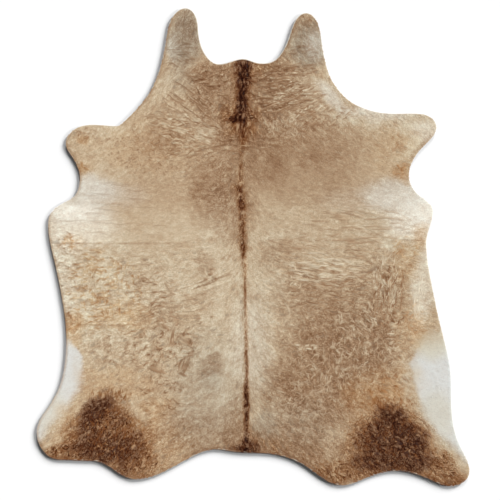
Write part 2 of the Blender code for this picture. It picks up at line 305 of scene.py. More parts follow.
WRINKLES = strokes(
    ("left flap", 184, 50, 15, 9, 18, -3, 8, 12, 0.5, 1.1),
    ("left flap base", 182, 66, 16, 8, 8, -18, 12, 12, 0.4, 1.5, -10),
    ("left nape", 214, 78, 24, 12, 26, -6, 12, 14, 0.7, 1.1),
    ("left neck slants", 188, 98, 22, 20, 26, -38, 7, 20, 0.7, 1.0, -35),
    ("left neck", 205, 105, 28, 20, 44, -25, 14, 11, 0.5),
    ("left shoulder fan", 186, 129, 36, 17, 120, -17, 13, 11, 0.62, 1.0, -12),
    ("left fan low", 190, 149, 28, 10, 56, 9, 12, 10, 0.55, 1.0, 6),
    ("left shoulder edge", 160, 118, 18, 8, 26, -12, 18, 8, 0.5, 1.1, 10),
    ("left of whorl", 222, 142, 22, 8, 24, -4, 8, 14, 0.65, 1.1),
    ("right nape", 275, 75, 26, 10, 44, 6, 10, 17, 0.8, 1.0, 5),
    ("right neck", 285, 95, 32, 16, 80, 10, 12, 18, 0.9, 1.0, 8),
    ("right neck outer", 308, 100, 18, 18, 70, 28, 14, 11, 0.8, 1.0, 30),
    ("right flap", 302, 52, 14, 10, 24, 12, 14, 8, 0.45, 1.0, 5),
    ("right flap base", 300, 70, 20, 8, 26, 16, 10, 12, 0.6, 1.1, 10),
    ("right shoulder", 330, 116, 26, 10, 56, 30, 18, 9, 0.65, 1.1, 12),
    ("right of whorl", 262, 144, 20, 6, 16, 2, 6, 14, 0.55),
    ("left armpit", 110, 195, 40, 12, 10, -2, 4, 26, 0.2, 0.9, -2),
    ("left side", 120, 220, 70, 22, 26, -2, 4, 26, 0.2, 0.9),
    ("left flank", 100, 262, 50, 16, 14, 0, 4, 22, 0.35),
    ("right side", 370, 228, 60, 18, 44, -4, 5, 22, 0.45, 0.9, -5),
    ("right armpit", 385, 214, 30, 7, 7, -7, 4, 24, 0.5, 1.2, -8),
    ("left hip", 175, 305, 40, 12, 20, 14, 8, 16, 0.5, 1.0, 14),
    ("left hip lines", 204, 284, 30, 5, 8, 20, 3, 30, 0.8, 0.9, 21),
)
PALE_HAIR = strokes(
    ("nape curls", 286, 126, 26, 11, 90, 60, 50, 4.5, 0.5),
    ("left shoulder fan", 186, 130, 36, 20, 150, -18, 16, 8, 0.6, 1.0, -12),
    ("right neck", 300, 95, 30, 24, 120, 20, 16, 9, 0.6),
    ("right shoulder", 340, 140, 50, 24, 110, -35, 35, 6, 0.3, 1.0, -8),
    ("right withers", 300, 225, 48, 24, 120, 80, 30, 6, 0.35),
    ("left withers", 215, 225, 26, 18, 30, -70, 20, 6, 0.3, 1.2),
    ("right side", 320, 268, 40, 18, 150, -3, 8, 12, 0.85, 1.0, -3),
    ("right side blotch", 333, 274, 14, 8, 36, 0, 14, 9, 0.6, 1.4),
    ("cream's rags", 284, 288, 22, 34, 90, 30, 60, 6, 0.5, 1.5),
    ("cream's low rags", 280, 322, 14, 10, 36, 20, 50, 6, 0.5, 1.5),
    ("flank swirl", 386, 278, 16, 30, 90, 82, 14, 9, 0.7, 0.9),
    ("flank swirl top", 402, 262, 14, 8, 40, 20, 30, 8, 0.55),
    ("flank middle", 356, 320, 22, 20, 80, -50, 30, 8, 0.66, 0.9),
    ("flank curls", 305, 349, 18, 5, 12, 10, 40, 7, 0.9, 1.2),
    ("right flank", 345, 362, 56, 32, 300, 75, 45, 7, 0.58, 0.85),
    ("right flank edge", 398, 345, 14, 24, 60, 20, 40, 6, 0.6, 1.1),
    ("right hip", 305, 400, 34, 22, 170, 55, 45, 6.5, 0.52, 0.85),
    ("right butt", 300, 430, 36, 14, 80, -30, 30, 6, 0.3),
    ("right belly", 419, 298, 4, 22, 14, 85, 6, 14, 0.7, 1.6, -8),
    ("left side", 150, 290, 60, 34, 150, 10, 60, 6, 0.5, 1.1),
    ("left hip", 165, 340, 40, 26, 120, 30, 60, 5, 0.5),
    ("left loin", 190, 410, 44, 26, 100, -20, 50, 6, 0.28),
    ("left neck grain", 212, 94, 26, 28, 130, -20, 50, 3.5, 0.35, 0.9),
    ("right neck grain", 276, 94, 30, 28, 130, 20, 50, 3.5, 0.30, 0.9),
    ("left shoulder grain", 160, 150, 60, 30, 240, -60, 50, 3.5, 0.4, 0.9),
    ("left thigh grain", 130, 390, 50, 30, 300, -60, 50, 3.5, 0.4, 0.9),
)
BROWN_HAIR = strokes(
    ("left hip", 160, 345, 38, 26, 140, 35, 50, 6, 0.7, 1.3),
    ("left hip mark", 174, 338, 3, 6, 4, 75, 8, 16, 0.8, 3.4),
    ("left hip curve", 188, 341, 5, 3, 4, -30, 14, 12, 0.7, 3.0),
    ("left hip dash", 159, 368, 4, 2, 3, -28, 6, 14, 0.9, 3.2),
    ("left hip bars", 187, 364, 6, 3, 5, 66, 6, 13, 0.85, 2.2),
    ("left hip foot", 183, 375, 4, 1, 3, -8, 8, 9, 0.8, 2.4),
    ("left hip top", 205, 318, 8, 6, 6, 20, 30, 7, 0.7, 2.0),
    ("left hip outer", 158, 320, 22, 10, 22, 0, 40, 7, 0.4, 2.2),
    ("left side", 152, 292, 26, 20, 80, 5, 30, 8, 0.5, 1.3),
    ("left of spine", 208, 272, 12, 8, 12, -30, 30, 8, 0.6, 2.2, -15),
    ("left flank edge", 66, 270, 12, 44, 50, 5, 40, 5, 0.5, 1.3),
    ("left flank knot", 68, 316, 8, 8, 14, 0, 50, 6, 0.7, 2.0),
    ("left flank weave", 110, 290, 34, 30, 60, 90, 10, 6, 0.3, 1.1),
    ("left thigh", 120, 350, 26, 18, 80, 30, 60, 5, 0.55, 1.2),
    ("left loin", 165, 408, 26, 12, 50, -12, 20, 8, 0.5, 1.2),
    ("left loin specks", 160, 385, 26, 12, 60, 20, 60, 5, 0.6, 1.2),
    ("right flank", 345, 350, 56, 44, 260, 60, 60, 6, 0.65, 1.1),
    ("flank swirl", 388, 290, 16, 28, 110, 85, 16, 9, 0.95, 1.2),
    ("flank knots", 390, 315, 16, 12, 50, 30, 60, 6, 0.95, 1.3),
    ("right side", 330, 290, 44, 24, 110, -3, 8, 12, 0.65, 1.0, -2),
    ("right side top", 330, 245, 60, 12, 60, -3, 7, 12, 0.4, 1.0, -3),
    ("right flank low", 395, 380, 16, 10, 20, -20, 30, 6, 0.55, 1.6),
    ("nape fan", 245, 132, 14, 10, 130, 85, 22, 7, 1.0),
    ("left stripe edge", 230, 95, 7, 28, 80, 40, 30, 6, 0.6, 1.2),
    ("right stripe edge", 255, 92, 7, 28, 80, -30, 30, 6, 0.6, 1.2),
    ("left of stripe", 235, 172, 7, 26, 60, -12, 20, 8, 0.4, 1.1),
    ("right of stripe", 249, 200, 5, 30, 40, 12, 20, 7, 0.35, 1.3),
    ("right foreleg", 397, 143, 9, 12, 26, 55, 20, 6, 0.22, 1.6),
    ("left foreleg", 86, 137, 12, 9, 24, 30, 40, 5, 0.5, 1.6),
    ("right flap tip", 309, 26, 8, 8, 16, 40, 40, 4, 0.5, 1.6),
    ("right flap", 300, 45, 9, 12, 24, 0, 20, 5, 0.4, 1.3),
    ("left flap", 190, 26, 8, 12, 20, 70, 30, 5, 0.4, 1.4),
    ("left flap low", 186, 58, 14, 8, 12, -10, 15, 9, 0.4, 1.6),
    ("left rump grain", 180, 430, 50, 22, 320, 50, 40, 3.5, 0.6, 0.9),
    ("left neck grain", 212, 94, 26, 28, 120, -20, 50, 3.5, 0.50, 0.9),
    ("left shoulder grain", 160, 150, 60, 30, 280, -50, 50, 3.5, 0.6, 0.9),
    ("right shoulder grain", 320, 140, 60, 26, 180, -30, 50, 3.5, 0.4, 0.9, -8),
)
GOLDEN_HAIR = strokes(
    ("left haunch", 112, 434, 34, 26, 300, 78, 32, 4, 1.0),
    ("right haunch", 390, 442, 42, 26, 300, 60, 42, 4, 0.7),
    ("left flank upright", 110, 288, 36, 32, 170, 90, 10, 5, 0.55),
    ("right armpit", 401, 172, 8, 7, 18, 25, 30, 6, 0.6, 1.6, 20),
    ("left armpit", 84, 169, 8, 5, 10, -20, 30, 6, 0.7, 1.6, -20),
    ("left flank fleck", 70, 242, 9, 7, 34, 30, 50, 5, 0.75, 1.2),
    ("left belly", 72, 324, 9, 6, 20, 0, 40, 6, 0.6, 1.3),
    ("left flank", 95, 290, 28, 44, 150, 2, 14, 7, 0.5, 1.1),
    ("right flank top", 405, 250, 14, 14, 40, 20, 40, 6, 0.5, 1.2),
    ("right belly", 414, 318, 10, 14, 26, 10, 40, 6, 0.25, 1.6),
    ("right hip", 385, 398, 28, 12, 60, 0, 40, 6, 0.4, 1.1, 10),
)
DARK_HAIR = strokes(
    ("left haunch top", 110, 396, 20, 8, 110, 84, 18, 6, 0.75),
    ("left haunch right", 133, 430, 8, 24, 90, 70, 24, 5, 0.75, 1.0, 25),
    ("left haunch left", 80, 418, 5, 20, 60, 100, 24, 5, 0.7, 1.0, -40),
    ("left haunch", 110, 432, 32, 24, 260, 78, 32, 4, 1.0),
    ("left shank", 70, 451, 24, 8, 90, 20, 50, 4, 0.9, 1.1),
    ("left thigh lobe", 138, 464, 28, 10, 80, 40, 40, 5, 0.75, 1.0, 10),
    ("right haunch top", 392, 404, 26, 7, 90, 86, 20, 6, 0.55),
    ("right haunch left", 360, 434, 12, 20, 110, 40, 30, 5, 0.8, 1.0, -30),
    ("right haunch right", 426, 436, 6, 22, 50, -75, 24, 5, 0.4, 1.0, 15),
    ("right haunch", 390, 442, 38, 24, 220, 60, 40, 4, 1.0),
    ("right thigh lobe", 340, 470, 26, 10, 80, -20, 50, 5, 0.55),
    ("right shank", 440, 464, 22, 10, 90, -40, 40, 5, 0.7, 1.0, -30),
    ("butt", 246, 446, 22, 6, 60, 80, 40, 5, 0.6),
    ("rump rim", 300, 458, 24, 7, 30, -20, 40, 5, 0.3, 1.0, -25),
    ("stripe top", 244, 76, 12, 18, 160, 60, 50, 4, 0.9),
    ("stripe neck left", 237, 100, 5, 20, 80, 40, 40, 4, 0.7),
    ("stripe neck right", 248, 98, 5, 22, 80, -40, 40, 4, 0.7),
    ("stripe neck", 243, 98, 4, 22, 50, 70, 40, 4, 0.9, 1.1),
    ("stripe foot", 237, 119, 12, 4, 70, 15, 24, 6, 1.0, 1.1, 8),
    ("stripe foot right", 252, 116, 7, 6, 70, 40, 40, 5, 0.9),
    ("nape line", 244, 130, 10, 9, 80, 88, 20, 6, 0.5, 0.9),
    ("nape line low", 241, 168, 2, 14, 14, 80, 14, 7, 0.4),
    ("spine mark", 236, 186, 4, 5, 12, 40, 24, 6, 0.5, 1.2, 30),
    ("spine upper", 241, 199, 5, 12, 60, 70, 28, 6, 0.55),
    ("spine middle", 243, 234, 3, 26, 80, 76, 22, 6, 0.45),
    ("spine thread", 244, 300, 1, 50, 40, 90, 8, 8, 0.3, 0.8, 1),
    ("spine lower", 246, 372, 1, 22, 36, 86, 10, 7, 0.5),
    ("spine low", 246, 412, 3, 24, 90, 76, 26, 5, 0.7, 1.1),
)
TONES = table("name seed strokes", (
    ("wrinkle", 144, WRINKLES),
    ("pale", 141, PALE_HAIR),
    ("brown", 142, BROWN_HAIR),
    ("golden", 143, GOLDEN_HAIR),
    ("dark", 145, DARK_HAIR),
))
WRINKLE_TONE = TONES[0]

# How each stroke differs from its row's values, and how it is drawn on the grid
SCATTER_REACH = 1.15        # shares of the patch's reach: how far strokes lie,
SCATTER_FADE = 0.75         # and from where on they grow weaker
LENGTHS = (0.5, 1.5)        # shares of the row's value, here and in the next two
WIDTHS = (0.8, 1.2)
STRENGTHS = (0.6, 1)
MOST_BOW = 0.5              # shares of half its length: how far its middle bows out,
MOST_WAVE = 0.2             # and how far its halves swing apart
STROKE_TAPER = 0.7          # share of its width that it loses at its ends
STRAIGHT_LENGTH = 7         # strokes longer than this, in pixels, curl less
STAMP_WIDTH = 1.25          # a stroke's spots on the grid are this much wider than the stroke
STAMP_REACH = 1.1
STAMP_STEPS = 1.5           # spots in each cell along it
LIT_SIDE = 1.1              # widths from a wrinkle's painted shade line to its painted light line

# The coat's markings over the tan ground: first the pale coats, then white and ivory, then the
# pigments, in the order of the two lists under them. colour is in the photo's own 0 to 255 scale,
# and warp is how far in pixels the edges wander.
Marking = namedtuple("Marking", "name colour warp patches")
TAN = (192, 168, 138)
CREAM = Marking("cream", (209, 194, 168), 7, patches(
    ("left centre", 165, 244, 88, 32, 0.25, 0.5),
    ("left flank edge", 66, 265, 22, 62, 0.75, 0.5, 6),
    ("left of spine", 222, 310, 22, 110, 0.50),
    ("right of spine", 267, 297, 17, 44, 0.40, 0.45),
    ("left loin", 205, 400, 36, 42, 0.25),
    ("right withers", 290, 220, 44, 18, 0.10),
    ("right centre", 305, 242, 48, 14, 0.20),
    ("right flank top", 402, 246, 18, 12, 0.70),
    ("right foreleg edge", 414, 144, 8, 10, 0.75),
    ("right foreleg", 412, 126, 26, 12, 0.60, 0.5),
    ("right foreleg root", 362, 117, 34, 8, 0.60, 0.5, -4),
    ("left neck edge", 165, 84, 8, 16, 0.12, 0.5, -30),
    ("right neck edge", 318, 92, 12, 22, 0.45, 0.5, 35),
    ("left foreleg edge", 110, 128, 26, 5, 0.35, 0.5),
    ("right flank edge", 424, 285, 12, 42, 0.75, 0.5, -8),
    ("right thigh", 315, 412, 34, 20, 0.20, 0.6, 15),
    ("right shank", 455, 448, 14, 18, 0.60, 0.5, 30),
    ("left foreleg", 100, 146, 30, 18, 0.30),
    ("right top", 390, 228, 36, 16, 0.50),
    ("beside the spine", 252, 345, 16, 42, 0.40),
    ("left flank", 102, 292, 34, 58, 0.66),
    ("left side", 172, 289, 26, 18, 0.40),
    ("right foreleg low", 398, 150, 14, 12, 0.40),
    ("left foreleg low", 109, 172, 22, 8, 0.50),
    ("left flank top", 100, 298, 22, 16, 0.45, 0.7),
    ("left hip top", 159, 329, 20, 14, 0.40, 0.7),
    ("right hip", 347, 396, 15, 9, 0.32, 0.7),
))
MILK = Marking("milk", (238, 230, 214), 5, patches(
    ("left flank top", 84, 230, 32, 18, 0.50, 0.6, 8),
    ("left flank crest", 72, 210, 20, 8, 0.75),
    ("left flank edge", 62, 270, 15, 60, 0.20, 0.6, 7),
    ("right foreleg", 425, 132, 14, 10, 0.32),
    ("right foreleg root", 372, 114, 30, 6, 0.15, 0.5, -4),
    ("right flank top", 412, 222, 24, 16, 0.60, 0.5),
    ("right flank crest", 426, 211, 14, 12, 0.80, 0.5),
    ("right flank corner", 430, 240, 10, 20, 0.40),
    ("right flank edge", 422, 290, 11, 42, 0.25, 0.5, -8),
    ("right armpit", 402, 200, 24, 8, 0.25),
))
ASH = Marking("ash", (165, 149, 128), 5, patches(
    ("left flap", 186, 36, 17, 32, 0.95, 0.45, -10),
    ("right flap", 308, 44, 17, 23, 0.90, 0.45),
    ("right loin", 263, 402, 14, 46, 0.20),
    ("left loin", 207, 392, 34, 56, 0.48),
    ("left neck", 180, 78, 16, 14, 0.35),
    ("right thigh inner", 300, 425, 26, 24, 0.30),
    ("left hip shade", 212, 380, 12, 12, 0.50),
    ("right of the tail", 264, 424, 12, 14, 0.55),
    ("right shank white", 449, 438, 10, 11, 0.32, 0.6, 30),
))
FAWN = Marking("fawn", (149, 116, 87), 8, patches(
    ("left neck", 219, 90, 28, 38, 0.80, 0.45),
    ("right neck", 270, 92, 31, 42, 0.70, 0.45),
    ("right flap base", 308, 74, 14, 10, 0.10, 0.5, 10),
    ("right flap tip", 308, 20, 13, 14, 0.45),
    ("hip", 366, 401, 18, 12, 0.35),
    ("right hip low", 338, 414, 17, 15, 0.60),
    ("left nape", 224, 150, 17, 30, 0.50, 0.5),
    ("right nape", 262, 145, 28, 34, 0.62, 0.45),
    ("left withers", 212, 197, 21, 25, 0.78, 0.6, 8),
    ("left flap tip", 188, 24, 12, 18, 0.45),
    ("right of stripe top", 255, 67, 11, 18, 0.95),
    ("left of stripe", 230, 98, 10, 36, 0.80),
    ("right of stripe", 256, 106, 8, 30, 0.40),
    ("nape by the spine", 243, 132, 24, 12, 0.85),
    ("left of spine middle", 229, 226, 12, 26, 0.35),
    ("spine foot", 239, 438, 17, 14, 0.95),
    ("right rump rim", 300, 454, 27, 12, 0.85, 0.6, -25),
    ("left shoulder low", 165, 165, 60, 22, 0.12),
    ("left side low", 150, 196, 60, 14, 0.15),
    ("right shoulder", 316, 142, 45, 24, 0.58, 0.5, -8),
    ("right withers", 300, 176, 60, 25, 0.40, 0.6, -8),
    ("spine above", 243, 160, 13, 52, 0.22),
    ("spine middle", 242, 220, 8, 36, 0.65),
    ("withers spot", 272, 169, 15, 13, 0.45, 0.5),
    ("left shoulder", 158, 140, 34, 15, 0.20, 0.5, 12),
    ("right side", 326, 297, 47, 30, 0.45, 0.45),
    ("right flank", 342, 350, 55, 37, 0.97, 0.4),
    ("right hip", 309, 388, 40, 30, 0.92, 0.5),
    ("right flank edge", 384, 288, 18, 30, 0.36, 0.5),
    ("right butt", 282, 438, 32, 16, 0.60, 0.5),
    ("left butt", 200, 432, 40, 22, 0.45),
    ("left hip mark", 212, 366, 8, 16, 0.45, 0.35, -35),
    ("left side mark", 205, 262, 12, 7, 0.40, 0.35, -20),
    ("right butt side", 330, 455, 26, 14, 0.40, 0.5, -20),
    ("left of the tail", 238, 412, 10, 20, 0.45, 0.7),
    ("right rump", 314, 423, 22, 12, 0.55),
    ("right of spine top", 280, 255, 19, 11, 0.40),
    ("left hip top", 163, 313, 18, 11, 0.35),
    ("left of upper spine", 229, 184, 10, 18, 0.80),
    ("right nape top", 283, 130, 28, 11, 0.70),
    ("right side top", 298, 276, 14, 12, 0.45),
    ("right of upper spine", 251, 208, 7, 16, 0.50, 0.7),
    ("left withers top", 200, 172, 14, 14, 0.40),
    ("right flank top", 347, 314, 28, 12, 0.55),
    ("right flank foot", 346, 449, 14, 12, 0.35, 0.7),
    ("left shoulder brown", 166, 140, 15, 10, 0.45, 0.6, -25),
))
GOLD = Marking("gold", (186, 148, 108), 8, patches(
    ("left flank", 92, 285, 26, 48, 0.05),
    ("left foreleg", 95, 150, 34, 24, 0.10),
    ("left shoulder", 150, 145, 44, 24, 0.22),
    ("right foreleg", 392, 148, 24, 20, 0.25),
    ("right hip", 378, 392, 40, 20, 0.68, 0.5, 20),
    ("left thigh", 112, 384, 40, 14, 0.35, 0.5),
    ("left rump", 165, 445, 30, 18, 0.40),
    ("right flank edge", 406, 330, 14, 26, 0.30),
    ("left haunch edge", 66, 420, 14, 20, 0.45, 0.7, -25),
    ("right flank low", 418, 334, 8, 8, 0.40, 0.7),
    ("left lower flank", 128, 316, 26, 14, 0.45),
    ("left belly", 75, 334, 10, 8, 0.50, 0.7),
    ("left loin low", 156, 408, 16, 14, 0.40, 0.7),
))
SILVER = Marking("silver", (216, 210, 197), 4, patches(
    ("left armpit", 94, 190, 26, 14, 0.85, 0.5),
    ("left flank crest", 76, 207, 24, 8, 0.75),
    ("left armpit inner", 116, 196, 26, 12, 0.30),
    ("left flank top", 74, 214, 30, 10, 0.55),
    ("right armpit", 400, 196, 34, 19, 0.65, 0.45),
    ("right flank top", 424, 208, 18, 16, 0.80, 0.5),
    ("right armpit inner", 358, 200, 34, 13, 0.15),
    ("right shoulder edge", 378, 112, 36, 6, 0.30, 0.5),
    ("right neck edge", 331, 96, 7, 18, 0.50, 0.5, 38),
    ("right flap side", 314, 44, 7, 14, 0.35, 0.5),
    ("left flap side", 174, 48, 6, 14, 0.25, 0.5),
    ("beside the spine", 250, 342, 18, 42, 0.22),
))
IVORY = Marking("ivory", (209, 203, 186), 3, patches(
    ("left thigh", 50, 412, 15, 22, 0.60, 0.5, -25),
    ("right thigh", 438, 412, 16, 22, 0.70, 0.5, 20),
    ("right shank", 452, 440, 10, 16, 0.25, 0.5, 30),
    # right thigh top: partly the hair's own ivory, partly painted shade of a soft fold on the white
    ("right thigh top", 432, 344, 20, 14, 0.98),
    ("right thigh edge", 410, 378, 8, 16, 0.50, 0.7),
))
GINGER = Marking("ginger", (160, 112, 70), 4, patches(
    ("left flank fleck", 76, 243, 10, 6, 0.15, 0.5, 10),
    ("left foreleg fleck", 84, 138, 7, 5, 0.30, 0.5),
    ("left armpit fleck", 84, 170, 8, 5, 0.15, 0.5, -30),
    ("right armpit fleck", 401, 172, 10, 8, 0.25, 0.5, 20),
    ("right armpit edge", 407, 180, 5, 6, 0.20, 0.5),
    ("right foreleg fleck", 398, 141, 7, 9, 0.10, 0.5, -20),
    ("right flank corner", 420, 236, 8, 12, 0.30, 0.5),
    ("right flank fleck", 404, 262, 12, 22, 0.20, 0.5),
    ("right flank low", 418, 326, 12, 10, 0.18, 0.5),
    ("left flank low", 74, 322, 14, 9, 0.45, 0.5),
    ("left thigh halo", 80, 372, 6, 22, 0.10, 0.6, 14),
    ("right thigh top", 426, 336, 20, 10, 0.20, 0.7, 10),
))
CHESTNUT = Marking("chestnut", (134, 91, 58), 6, patches(
    ("left haunch", 109, 427, 23, 30, 0.90, 0.5),
    ("left haunch low", 118, 446, 36, 17, 0.78, 0.4, -14),
    ("left haunch side", 64, 453, 20, 8, 0.80, 0.6, 15),
    ("left thigh lobe", 136, 464, 34, 14, 0.62, 0.5, 10),
    ("left shank", 82, 452, 26, 12, 0.90, 0.5),
    ("left haunch right", 146, 440, 13, 20, 0.45, 0.5, -20),
    ("right haunch", 392, 440, 39, 33, 0.85, 0.45),
    ("right haunch side", 357, 446, 16, 22, 0.38, 0.5, -20),
    ("right thigh lobe", 336, 473, 34, 11, 0.75, 0.5),
    ("right shank", 440, 466, 26, 14, 0.72, 0.5, -30),
    ("right hind bay", 378, 466, 42, 9, 0.75),
    ("butt", 258, 447, 30, 8, 0.50, 0.5),
    ("stripe foot", 240, 117, 20, 12, 0.76, 0.6, 5),
    ("stripe top", 252, 64, 18, 12, 0.66),
    ("right shank rim", 442, 481, 26, 9, 0.78, 0.5, -6),
    ("left lobe rim", 126, 471, 18, 8, 0.40, 0.5),
    ("left haunch left", 88, 427, 25, 13, 0.80, 0.45, 50),
    ("fan under the stripe", 245, 129, 14, 9, 0.66, 0.7),
    ("left haunch foot", 74, 431, 15, 12, 0.75, 0.8, 35),
    ("right haunch top", 405, 416, 15, 10, 0.60, 0.6, -30),
))
DARK = Marking("dark", (62, 31, 16), 5, patches(
    ("left haunch core", 95, 413, 23, 11, 0.84, 0.7, 52),
    ("left haunch middle", 113, 430, 26, 24, 0.42, 0.7, -20),
    ("left haunch low", 97, 447, 26, 10, 0.68, 0.7),
    ("left haunch corner", 132, 443, 13, 12, 0.42, 0.5, -20),
    ("left haunch foot", 116, 457, 24, 8, 0.45, 0.5),
    ("right haunch crown", 388, 409, 13, 9, 0.75, 0.8, -10),
    ("right haunch upper", 398, 423, 20, 12, 0.85, 0.7, -30),
    ("right haunch right", 413, 443, 14, 16, 0.85, 0.7),
    ("right haunch middle", 390, 440, 32, 20, 0.70, 0.5, -5),
    ("right haunch left", 372, 453, 20, 12, 0.42, 0.7),
    ("right haunch low", 398, 462, 34, 11, 0.75, 0.7),
    ("butt", 248, 447, 18, 6, 0.65, 0.5),
    ("left lobe", 128, 469, 12, 6, 0.40, 0.5),
    ("right haunch foot", 363, 466, 16, 10, 0.40),
))
PALE_COATS = (CREAM, ASH, SILVER, MILK)
PIGMENTS = (FAWN, GOLD, GINGER, CHESTNUT, DARK)

# The white belly edges: where their inner side runs, and how many pixels its fade takes
WHITE_COLOUR = (214, 213, 208)
WHITE_WARP = 2
LEFT_WHITE = table("photo_y photo_x fade", (
    (333, 62, 2),
    (338, 69, 3),
    (346, 76, 3),
    (357, 83, 3),
    (366, 83, 6),
    (375, 83, 10),
    (390, 79, 14),
    (407, 66, 16),
    (418, 58, 16),
    (427, 48, 14),
    (438, 40, 12),
    (448, 34, 10),
))
RIGHT_WHITE = table("photo_y photo_x fade", (
    (334, 452, 8),
    (341, 435, 10),
    (348, 416, 5),
    (363, 409, 4),
    (378, 413, 5),
    (395, 419, 8),
    (408, 425, 10),
    (422, 430, 9),
    (429, 434, 9),
    (435, 443, 12),
    (447, 454, 12),
    (458, 464, 10),
))
# Where its ends fade, in pixels from its first and its last row
LEFT_WHITE_ENDS = ((-2, 3), (-8, 0))
RIGHT_WHITE_ENDS = ((-2, 8), (-6, 8))

# The dark line along the spine, in photo pixels
STRIPES = table("photo_y centre half_width strength", (
    (56, 244.6, 11.6, 0.84),
    (66, 243.8, 10.8, 0.84),
    (74, 243.4, 9.4, 0.86),
    (82, 243.6, 7.6, 0.90),
    (90, 242.4, 6.8, 0.94),
    (98, 242.2, 6.5, 0.94),
    (106, 242.0, 6.4, 0.94),
    (113, 241.2, 7.6, 0.90),
    (118, 239.0, 10.4, 0.92),
    (122, 240.0, 9.8, 0.74),
    (126, 243.0, 7.6, 0.62),
    (131, 243.2, 6.6, 0.56),
    (138, 243.4, 5.4, 0.50),
    (146, 242.4, 3.0, 0.34),
    (160, 240.5, 2.2, 0.20),
    (170, 241.2, 2.4, 0.40),
    (180, 240.8, 2.6, 0.35),
    (187, 239.6, 4.6, 0.50),
    (194, 240.8, 4.0, 0.60),
    (202, 241.8, 4.0, 0.56),
    (210, 242.4, 4.2, 0.62),
    (218, 242.2, 3.8, 0.50),
    (227, 242.2, 3.8, 0.40),
    (235, 242.6, 3.8, 0.44),
    (242, 242.6, 4.2, 0.58),
    (250, 243.6, 3.6, 0.50),
    (258, 243.8, 3.0, 0.46),
    (266, 244.4, 2.2, 0.48),
    (276, 244.8, 1.5, 0.36),
    (330, 245.6, 1.4, 0.34),
    (350, 246.2, 1.7, 0.48),
    (370, 246.6, 1.9, 0.50),
    (380, 246.4, 2.6, 0.56),
    (388, 246.2, 2.8, 0.70),
    (396, 246.2, 3.1, 0.74),
    (418, 246.4, 2.8, 0.78),
    (427, 246.2, 2.6, 0.70),
    (434, 246.2, 3.8, 0.85),
    (442, 246.6, 6.0, 0.85),
    (450, 248.0, 9.0, 0.90),
))
STRIPE_ENDS = (6, 4)        # pixels that it runs on past its first and its last row
STRIPE_CORE, STRIPE_RIM = 0.30, 1.40    # shares of its half width between which it fades
STRIPE_RAG = 0.45           # shares by which its half width changes: along its edge,
STRIPE_STRAND_RAG = 0.20    # and with the strands of the hair

# The grid that the masks are worked out on, in metres and in photo pixels
CELL = 0.0022
GRID_MARGIN = 0.03
GRID_END = 1.001            # fields are read up to just inside the last cell
GRID_X, GRID_Y = np.meshgrid(
    np.arange(-HALF_WIDTH - GRID_MARGIN, HALF_WIDTH + GRID_MARGIN, CELL),
    np.arange(-HALF_LENGTH - GRID_MARGIN, HALF_LENGTH + GRID_MARGIN, CELL),
)
PIXEL_X = PHOTO_MIDDLE_X + GRID_X / PHOTO_PIXEL
PIXEL_Y = PHOTO_MIDDLE_Y - GRID_Y / PHOTO_PIXEL
STRAND_STEPS = 3            # cells that the fine streaks run either way
CLUMP_STEPS = 6

# Uneven fields on the grid: how broad their bumps are in metres, their seed, and how many layers,
# each finer and weaker than the last, lie over each other
Cloud = namedtuple("Cloud", "bump seed layers", defaults=(3,))
LIE_SWAY = Cloud(0.16, 11)
RUFFLES = Cloud(0.021, 21, 2)
STRIPE_RAGS = Cloud(0.012, 41, 2)
CREASE_WANDER = Cloud(0.030, 51)
CREASE_DASHES = Cloud(0.016, 53)
WANDER_ACROSS = Cloud(0.060, 61)
WANDER_DOWN = Cloud(0.060, 71)
STRANDS = Cloud(0.0038, 81, 1)
CLUMPS = Cloud(0.0080, 85, 1)
BLOTCHES = Cloud(0.036, 91)
NOISE_TILE = 256            # bumps after which a field repeats

# How the markings and the textures are mixed, as shares and mask values
TINT_BLOTCH, TINT_CLUMP, MOST_TINT = 0.22, 0.08, 1.2        # unevenness of cream, fawn and gold
EDGE_STRAND, EDGE_CLUMP, EDGE_BLOTCH = 0.18, 0.12, 0.10     # raggedness of the brown edges,
EDGE_SETS_IN = (0.02, 0.30)     # from where on there is any,
BROWN_LOWS = (("chestnut", 0.10), ("dark", 0.22))       # and between which values browns fade in
BROWN_HIGH = 0.95
STRIPE_HIDES = 0.4          # where the stripe is this strong, pale hair is hidden by it
STRIPE_DARK = (0.35, 1.0)   # between these it darkens the hair,
STRIPE_BROWN = (0, 0.6)     # and between these it browns it
DARK_HAIR_BROWN = 0.5       # how much chestnut lies under dark strokes
PALE_OVER_FAWN = 0.95       # how much fawn pale strokes take away
PALE_CREAM = 0.9            # and how much cream they bring
# How calm the hair is on pale markings, and how much livelier on brown
CALM_SHARES = (("silver", 0.85), ("ivory", 0.85), ("milk", 0.7), ("cream", 0.45))
LIVELY_BROWN = 0.65
STREAK_STRAND, STREAK_CLUMP, STREAK_BLOTCH = 0.85, 0.30, 0.25       # light and dark streaks
STREAK_CALM = 0.8           # how much weaker they are in calm hair,
STREAK_BROWN = 0.3          # and stronger in brown hair

# How the curls' own tones are mixed over the markings
PALE_CURL_COVERS = 0.9      # share of the pigments that a pale curl hides
BROWN_CURL = 1.3
GOLD_ON_BROWN = 0.45        # how golden a golden curl is on brown,
GOLD_COVERS_BROWN = 0.25    # and share of the brown that it hides
DARK_CURL_DEEPENS = (0.3, 0.8)      # chestnut between which a dark curl turns darker than it
LIT_CURL_SIDE = 3.0         # how brightly the painted light on a wrinkle's lit side shows

# Painted shade and painted light along the folds, and relief of the hair's surface
CREASE_WIDTH = 0.0034
CREASE_SWAY = 0.0014
# Strength of the painted shade in each fold, and of the painted light above it
CREASE_SHADE, CREASE_LIGHT = 0.5, 0.6
DASH_LEVEL, DASH_CHANGE = 0.55, 0.9     # a fold's painted lines: their strength along it, and how much that changes
LIGHT_LINE = 2.5            # how brightly the painted light on a fold's lit side shows
WRINKLE_RISE = 0.0009
CLUMP_RISE = 0.0003
FEATHER = 0.0020            # how far markings run along the hair at their edges
